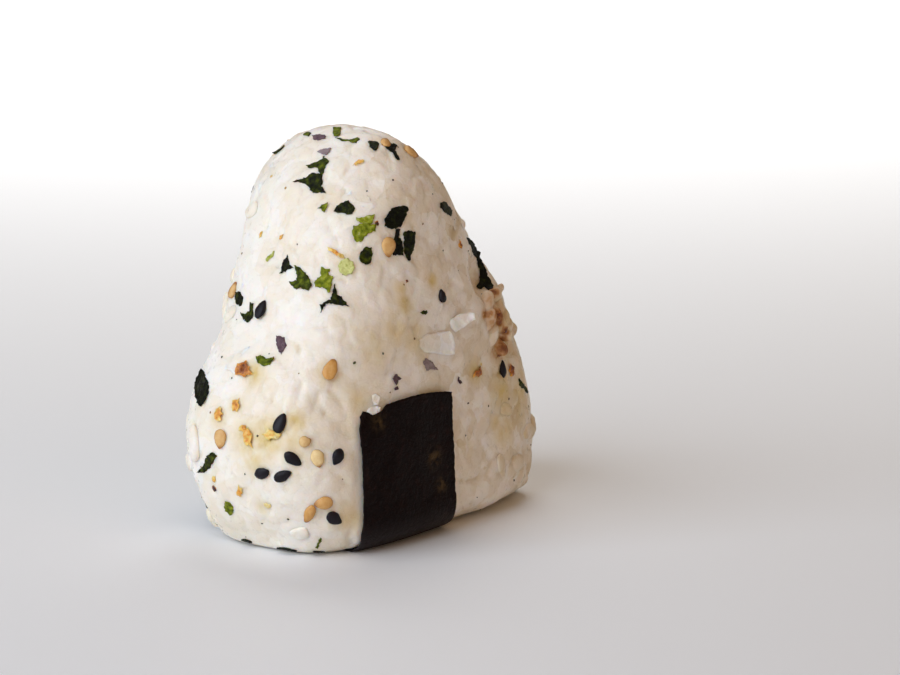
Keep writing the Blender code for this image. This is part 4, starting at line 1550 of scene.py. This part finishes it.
# Flakes at the two edges of the ball that stand up and face the viewer: hue, outline in pixels
FACED_LEAF = (
    (0.05, (
        (465.5, 237.0), (469.5, 238.5), (474.0, 243.5), (477.5, 250.5), (481.0, 252.5), (479.8, 256.5),
        (481.5, 260.5), (485.5, 269.0), (487.0, 274.0), (490.5, 280.5), (493.0, 285.0), (493.0, 289.0),
        (488.0, 290.0), (484.0, 286.5), (480.0, 289.5), (477.2, 286.5), (479.6, 279.0), (480.0, 272.0),
        (476.2, 258.0), (471.5, 252.0), (470.0, 246.0),
    )),
    (0.06, (
        (201.0, 368.5), (205.0, 373.0), (208.0, 382.0), (208.6, 391.0), (206.0, 398.0),
        (201.0, 406.0), (197.5, 403.5), (194.8, 395.0), (194.2, 384.0), (197.5, 375.0),
    )),
    (0.3, (
        (519.0, 378.0), (522.0, 381.5), (526.0, 387.0), (528.5, 393.0),
        (527.0, 394.0), (522.5, 389.5), (519.0, 384.5),
    )),
)
# Flakes under the rim of the base: bearing, height, length, width, turn, hue
EDGE_LEAF = (
    (-96, 1.2, 1.1, 2.4, 0, 0.1),
    (-81, 0.9, 1.3, 4.6, 0, 0.08),
    (-71, 0.8, 1.2, 2.8, 0, 0.1),
)


def leaf_material(name, *stops):
    """Dried leaf: its hue runs through the stops, blotched and finely veined."""
    material, sheet, shader = new_material(name)
    own = sheet.attribute("hue")
    hue = own + (sheet.blotches(0.8, 3.0, 0.6) - 0.5) * (1.7 - own)
    veins = sheet.blotches(0.4, 3.0, 0.65)
    colour = sheet.ramp(hue.clamped(), *stops)
    darker = veins.between(0.5, 0.66) * (0.9 - own * 0.8)
    colour = sheet.mix(darker, colour, (0.005, 0.007, 0.003))
    wrinkled = sheet.bump(veins, 0.2, sheet.bump(sheet.blotches(1.0), 0.45))
    inputs = {"Base Color": colour, "Roughness": 0.5, "Normal": wrinkled, "Specular IOR Level": 0.12}
    set_shader(sheet, shader, inputs)
    return material


GREENS = (
    (0.0, (0.0025, 0.0030, 0.0012)),
    (0.22, (0.013, 0.017, 0.0015)),
    (0.42, (0.050, 0.065, 0.0020)),
    (0.6, (0.125, 0.160, 0.0060)),
    (0.8, (0.300, 0.335, 0.018)),
    (1.0, (0.680, 0.700, 0.270)),
)
PURPLES = (
    (0.0, (0.050, 0.022, 0.035)),
    (0.5, (0.190, 0.120, 0.140)),
    (1.0, (0.400, 0.330, 0.320)),
)
# The hues of the flakes that are not seen
DARK_HUES = (0.03, 0.35)
GREEN_HUES = (0.4, 0.95)


def laid_leaf(name, seen, faced, others, material, draw):
    """Flakes of one kind: those of the photograph, and others by length, width, turn and hue."""
    plates = Plates(ground, LEAF_STEP, LEAF_ROUGHNESS, LEAF_LIFT, LEAF_CURL)
    for bearing, height, hue, outline in seen:
        plates.lay(bearing, height, hue, outline, draw)
    for bearing, height, length, width, turn, hue in others:
        plates.lay(bearing, height, hue, torn_outline(length, width, draw), draw, turn, False)
    plates.lift = FACED_LIFT
    for hue, outline in faced:
        plates.face(hue, outline, draw)
    made = plates.piece(name, LEAF_THICKNESS, "hue")
    made.data.materials.append(material)
    finish_piece(made, "rice_ball")
    return made


greens = leaf_material("dried green leaf", *GREENS)
more_dark = [row + (draw.uniform(*DARK_HUES),) for row in hidden["leaf"][::2]]
more_green = [row + (draw.uniform(*GREEN_HUES),) for row in hidden["leaf"][1::2]]
leaves = [
    laid_leaf("dark_leaf", DARK_LEAF, FACED_LEAF, list(EDGE_LEAF) + more_dark, greens, draw),
    laid_leaf("green_leaf", GREEN_LEAF, (), more_green, greens, draw),
    laid_leaf("purple_leaf", PURPLE_LEAF, (), (), leaf_material("dried purple leaf", *PURPLES), draw),
]

# Seasoning crumbs
# Small hard lumps of dried seasoning, from pale yellow through orange to burnt red-brown, half
# melted into the rice. Rows as for the seeds, with a last number from 0, pale, to 1, burnt.
CRUMBS = (
    (-92, 33, 3.2, 2.4, 100, 0.6),
    (-91, 27, 2.0, 1.7, 0, 0.4),
    (-96, 25, 2.8, 1.7, 160, 0.42),
    (-85, 22, 3.4, 1.5, 160, 0.32),
    (-87, 23.4, 1.8, 1.0, 70, 0.34),
    (-78, 23, 3.0, 1.9, 80, 0.22),
    (-98, 13.4, 1.1, 0.9, 20, 0.35),
    (-99, 11.4, 1.4, 1.1, 70, 0.95),
    (-90, 11.8, 2.3, 1.2, 20, 0.35),
    (-82, 9.8, 1.4, 1.1, 80, 0.12),
    (22, 28.2, 3.4, 1.4, 75, 0.62),
    (26, 29.4, 0.6, 0.5, 0, 0.3),
    (26, 51.8, 1.5, 1.2, 0, 0.65),
    (50, 26.2, 2.0, 2.6, 0, 0.66),
    (-120, 65.0, 0.6, 0.5, 0, 0.4),
    (-106, 55.4, 1.3, 0.5, 10, 0.25),
    (-92, 55.4, 1.0, 0.6, 20, 0.4),
    (-42, 68.4, 2.0, 0.7, 60, 0.35),
    (-62, 53.4, 3.0, 0.7, 120, 0.35),
    (-40, 58.2, 0.8, 0.7, 0, 0.9),
    (-29, 47.8, 0.5, 0.5, 0, 0.95),
)
# The lumps in the clump at the right edge: tone, middle and half size in pixels
FACED_CRUMBS = (
    (0.78, 499.0, 315.0, 2.2, 3.0),
    (0.9, 505.9, 331.8, 1.8, 1.6),
    (1.0, 499.3, 355.6, 1.6, 1.6),
)
CRUMB_STEP = 0.25
CRUMB_ROUGHNESS = 0.06
CRUMB_LIFT = 0.04
CRUMB_CURL = 0.1
CRUMB_DOME = 0.28
CRUMB_THICKNESS = 0.12
# A crumb melts into the rice: its rim is paler by a share, so its tone and outline are read larger
PALER_RIM = 0.8
TONE_GAIN = 1.25
SIZE_GAIN = 1.15
HIDDEN_TONES = (0.1, 0.9)


def crumb_material():
    """Dried seasoning: pale yellow to burnt, grainy, a little greasy."""
    material, sheet, shader = new_material("dried seasoning")
    tone = sheet.attribute("tone") + (sheet.blotches(0.8, 3.0) - 0.5) * 0.9
    stops = (
        (0.0, (0.86, 0.74, 0.42)),
        (0.25, (0.86, 0.60, 0.16)),
        (0.45, (0.80, 0.36, 0.05)),
        (0.65, (0.44, 0.14, 0.02)),
        (0.85, (0.15, 0.035, 0.012)),
        (1.0, (0.05, 0.015, 0.010)),
    )
    inputs = {
        "Base Color": sheet.ramp(tone.clamped(), *stops),
        "Roughness": 0.45,
        "Normal": sheet.bump(sheet.blotches(0.4, 3.0), 0.1),
        "Subsurface Weight": 0.4,
        "Subsurface Radius": (1.0, 0.6, 0.3),
        "Subsurface Scale": 0.3 * MM,
    }
    set_shader(sheet, shader, inputs)
    return material


def scatter_crumbs(draw):
    """The crumbs of the photograph, those not seen, and the lumps in the clump."""
    plates = Plates(ground, CRUMB_STEP, CRUMB_ROUGHNESS, CRUMB_LIFT, CRUMB_CURL, CRUMB_DOME, PALER_RIM)
    more = [row + (draw.uniform(*HIDDEN_TONES),) for row in hidden["crumb"]]
    for bearing, height, length, width, turn, tone in list(CRUMBS) + more:
        outline = torn_outline(SIZE_GAIN * length, SIZE_GAIN * width, draw, CRUMBLED_CORNERS)
        plates.lay(bearing, height, tone * TONE_GAIN, outline, draw, turn, False)
    for tone, x, y, half_width, half_height in FACED_CRUMBS:
        outline = torn_outline(2 * half_height, 2 * half_width, draw, CRUMBLED_CORNERS)
        plates.face(tone * TONE_GAIN, [(x + across, y + rise) for across, rise in outline], draw)
    return plates.piece("seasoning_crumbs", CRUMB_THICKNESS, "tone")


crumbs = scatter_crumbs(draw)
crumbs.data.materials.append(crumb_material())
finish_piece(crumbs, "rice_ball")

# Loose grains
# Single grains of the same rice, about 6 mm long when cooked, that lie on the pressed skin between
# the toppings and stick by their own starch. Whole grains and short broken ones, deeply sunk.
WHOLE_GRAIN = (6.2, 3.2, 1.7)
BROKEN_GRAIN = (4.2, 3.0, 1.6)
WHOLE_SPACING = 13.0
BROKEN_SPACING = 11.0
WHOLE_ROOM = 3.4
BROKEN_ROOM = 2.6
WHOLE_SEED = 3
BROKEN_SEED = 4
# Enough points a square metre to fill all the room that the spacing leaves
LOOSE_DENSITY = 400000.0
LOOSE_RIM = 0.35
LOOSE_TOP = 64.0
LOOSE_SPREAD = (0.82, 1.12)
LOOSE_TILT = 0.08
# How far the middle of a grain is below the skin, as a share of its depth
LOOSE_SUNK = (-0.5, -0.38)
LOOSE_WHITENESS = (-0.3, 0.4)
LOOSE_DENT_REACH = 1.5
LOOSE_DENT_DEPTH = 0.55
# Between these two X the front was pressed smooth and holds no loose grains
SMOOTH_FROM = -32.0
SMOOTH_TO = 8.0


def random_number(sheet, low, high, seed):
    """A number for each instance or point, between two limits."""
    inputs = {2: low, 3: high, "Seed": seed}
    return sheet.add("FunctionNodeRandomValue", {"data_type": "FLOAT"}, inputs, output=1)


def spread_points(sheet, given, allowed):
    """Points kept apart by a spacing where an attribute allows them, and which way each one faces."""
    inputs = {
        "Mesh": given["Geometry"],
        "Distance Min": given["Spacing"],
        "Density Max": given["Density"],
        "Density Factor": named(sheet, allowed),
        "Seed": given["Seed"],
    }
    settings = {"distribute_method": "POISSON"}
    points = sheet.add("GeometryNodeDistributePointsOnFaces", settings, inputs)
    return points, Wire(sheet, points.socket.node.outputs["Rotation"])


def rotated(sheet, facing, turn):
    """A rotation turned further about its own axes."""
    return sheet.add("FunctionNodeRotateRotation", {"rotation_space": "LOCAL"}, {0: facing, 1: turn})


def keep_on_each(sheet, instances, name, value):
    """Stores a value with each instance under a name, for its material."""
    settings = {"data_type": "FLOAT", "domain": "INSTANCE"}
    inputs = {"Geometry": instances, "Name": name, "Value": value}
    return sheet.add("GeometryNodeStoreNamedAttribute", settings, inputs)


def mark_room(name, reach, toppings):
    """Marks where the free rice of the core is at least a reach away from every topping."""
    tree = tree_of(np.concatenate([points_of(piece.data) for piece in toppings]))
    points = points_of(core.data)
    clear = np.array([tree.find(point)[2] for point in points]) > reach
    smooth = (points[:, 1] < 0) & (points[:, 0] > SMOOTH_FROM) & (points[:, 0] < SMOOTH_TO)
    clear &= ~smooth & (points[:, 2] < LOOSE_TOP)
    mark(core.data, name, marks_of(core.data, "free") * clear)


def strew_grains(sheet, given):
    """Grains laid any way round where there is room, each sunk by its own depth."""
    points, facing = spread_points(sheet, given, "room")
    turn = join_xyz(sheet, 0.0, 0.0, random_number(sheet, 0.0, math.tau, 1))
    tilt = join_xyz(sheet, 0.0, random_number(sheet, -LOOSE_TILT, LOOSE_TILT, 2), 0.0)
    facing = rotated(sheet, rotated(sheet, facing, turn), tilt)
    size = random_number(sheet, *LOOSE_SPREAD, 3)
    scale = join_xyz(sheet, given["Length"] * size, given["Width"] * size, given["Depth"] * size)
    inputs = {"Points": points, "Instance": grain_shape(sheet), "Rotation": facing, "Scale": scale}
    laid = sheet.add("GeometryNodeInstanceOnPoints", None, inputs)
    sunk = join_xyz(sheet, 0.0, 0.0, random_number(sheet, *LOOSE_SUNK, 4) * given["Depth"])
    laid = sheet.add("GeometryNodeTranslateInstances", None, {"Instances": laid, "Translation": sunk})
    laid = keep_on_each(sheet, laid, "white", random_number(sheet, *LOOSE_WHITENESS, 5))
    real = sheet.add("GeometryNodeRealizeInstances", None, {"Geometry": laid})
    return uneven(sheet, real, LOOSE_DENT_REACH, LOOSE_DENT_DEPTH)


def loose_grains(name, size, spacing, room, seed):
    """Grains of one size as a piece that stays inside the ball's own box."""
    length, width, depth = size
    toppings = [flaps, clump, finger, black, golden, crumbs, *leaves]
    mark_room("room", room, toppings)
    values = {
        "Spacing": spacing * MM,
        "Density": LOOSE_DENSITY,
        "Length": length * MM,
        "Width": width * MM,
        "Depth": depth * MM,
        "Seed": seed,
        "Material": rice_material(name.replace("_", " "), GRAIN_GLOW),
    }
    piece = grow(name, core, strew_grains, values)
    core.data.attributes.remove(core.data.attributes["room"])
    soak(piece.data, LOOSE_RIM)
    finish_piece(piece, "rice_ball")


loose_grains("whole_grains", WHOLE_GRAIN, WHOLE_SPACING, WHOLE_ROOM, WHOLE_SEED)
loose_grains("broken_grains", BROKEN_GRAIN, BROKEN_SPACING, BROKEN_ROOM, BROKEN_SEED)

# Specks
# Dust of the same seasoning and leaf, a third of a millimetre across, caught all over the rice.
SPECK_SIZES = (0.22, 0.5)
SPECK_STRETCH = (0.6, 1.6)
SPECK_FLATNESS = 0.8
SPECK_SPACING = 5.5
SPECK_DENSITY = 20000.0
SPECK_SEED = 12


def strew_specks(sheet, given):
    """Small angular specks stuck all over the free rice."""
    points, facing = spread_points(sheet, given, "free")
    shape = sheet.add("GeometryNodeMeshIcoSphere", None, {"Radius": 0.5, "Subdivisions": 2})
    size = random_number(sheet, SPECK_SIZES[0] * MM, SPECK_SIZES[1] * MM, 6)
    scale = join_xyz(sheet, size * random_number(sheet, *SPECK_STRETCH, 7), size, size * SPECK_FLATNESS)
    turn = join_xyz(sheet, 0.0, 0.0, random_number(sheet, 0.0, math.tau, 8))
    facing = rotated(sheet, facing, turn)
    inputs = {"Points": points, "Instance": shape, "Rotation": facing, "Scale": scale}
    laid = sheet.add("GeometryNodeInstanceOnPoints", None, inputs)
    return keep_on_each(sheet, laid, "hue", random_number(sheet, 0.0, 1.0, 9))


def speck_material():
    """Dust of any colour between near black, green, brown and tan."""
    material, sheet, shader = new_material("seasoning dust")
    stops = (
        (0.0, (0.02, 0.012, 0.010)),
        (0.3, (0.09, 0.05, 0.03)),
        (0.5, (0.03, 0.06, 0.015)),
        (0.7, (0.20, 0.12, 0.06)),
        (1.0, (0.55, 0.36, 0.12)),
    )
    colour = sheet.ramp(sheet.attribute("hue"), *stops)
    set_shader(sheet, shader, {"Base Color": colour, "Roughness": sheet.blotches(0.3) * 0.3 + 0.4})
    return material


values = {
    "Spacing": SPECK_SPACING * MM,
    "Density": SPECK_DENSITY,
    "Seed": SPECK_SEED,
    "Material": speck_material(),
}
specks = grow("seasoning_specks", core, strew_specks, values)
finish_piece(specks, "rice_ball")

# Stage and light
# A round white sweep, and one large soft window to the left with a weak warm fill.
STAGE_REACH = 2.2
STAGE_RIM = 1.0
RIM_STEPS = 12
STAGE_SIDES = 64


def set_stage():
    """A round floor whose edge sweeps up a quarter turn all round."""
    profile = [(STAGE_REACH, 0.0)]
    for k in range(1, RIM_STEPS + 1):
        angle = math.pi / 2 * k / RIM_STEPS
        profile.append((STAGE_REACH + STAGE_RIM * math.sin(angle), STAGE_RIM * (1 - math.cos(angle))))
    points = []
    for k in range(STAGE_SIDES):
        turn = math.tau * k / STAGE_SIDES
        points += [(r * math.cos(turn), r * math.sin(turn), z) for r, z in profile]
    rows = len(profile)
    faces = [[k * rows for k in range(STAGE_SIDES)]]
    for k in range(STAGE_SIDES):
        here, after = k * rows, (k + 1) % STAGE_SIDES * rows
        faces += [(here + j, here + j + 1, after + j + 1, after + j) for j in range(rows - 1)]
    mesh = bpy.data.meshes.new("stage")
    mesh.from_pydata(points, [], faces)
    mesh.update()
    mesh.shade_smooth()
    stage = bpy.data.objects.new("stage", mesh)
    bpy.context.scene.collection.objects.link(stage)
    material, sheet, shader = new_material("stage white")
    set_shader(sheet, shader, {"Base Color": (0.85, 0.865, 0.88), "Roughness": 0.6})
    mesh.materials.append(material)


def set_lamp(name, aim, out, distance, size, watts, colour, spread=180.0):
    """A square soft lamp that shines at a point from a direction."""
    lamp = bpy.data.lights.new(name, "AREA")
    lamp.size = size
    lamp.energy = watts
    lamp.color = colour
    lamp.spread = math.radians(spread)
    holder = bpy.data.objects.new(name, lamp)
    holder.location = Vector(aim) + out * distance
    holder.rotation_euler = out.to_track_quat("Z", "Y").to_euler()
    bpy.context.scene.collection.objects.link(holder)


set_stage()
ball = (0.0, 0.0, 0.035)
set_lamp("window", ball, view_direction(-101, 30), 0.9, 1.0, 9.6, (0.78, 0.87, 1.0))
set_lamp("fill", ball, view_direction(-20, 35), 1.2, 1.0, 2.0, (1.0, 0.55, 0.27))
far_floor = view_direction(VIEW_BEARING + 180, 0) * 1.1
set_lamp("floor_wash", far_floor, Vector((0, 0, 1)), 0.8, 1.2, 9.5, (1.0, 1.0, 1.0), 110.0)
world = bpy.data.worlds.new("studio")
bpy.context.scene.world = world
world.use_nodes = True
backdrop = world.node_tree.nodes["Background"]
backdrop.inputs["Color"].default_value = (1.0, 0.75, 0.49, 1.0)
backdrop.inputs["Strength"].default_value = 0.165
bpy.context.scene.view_settings.view_transform = "Standard"
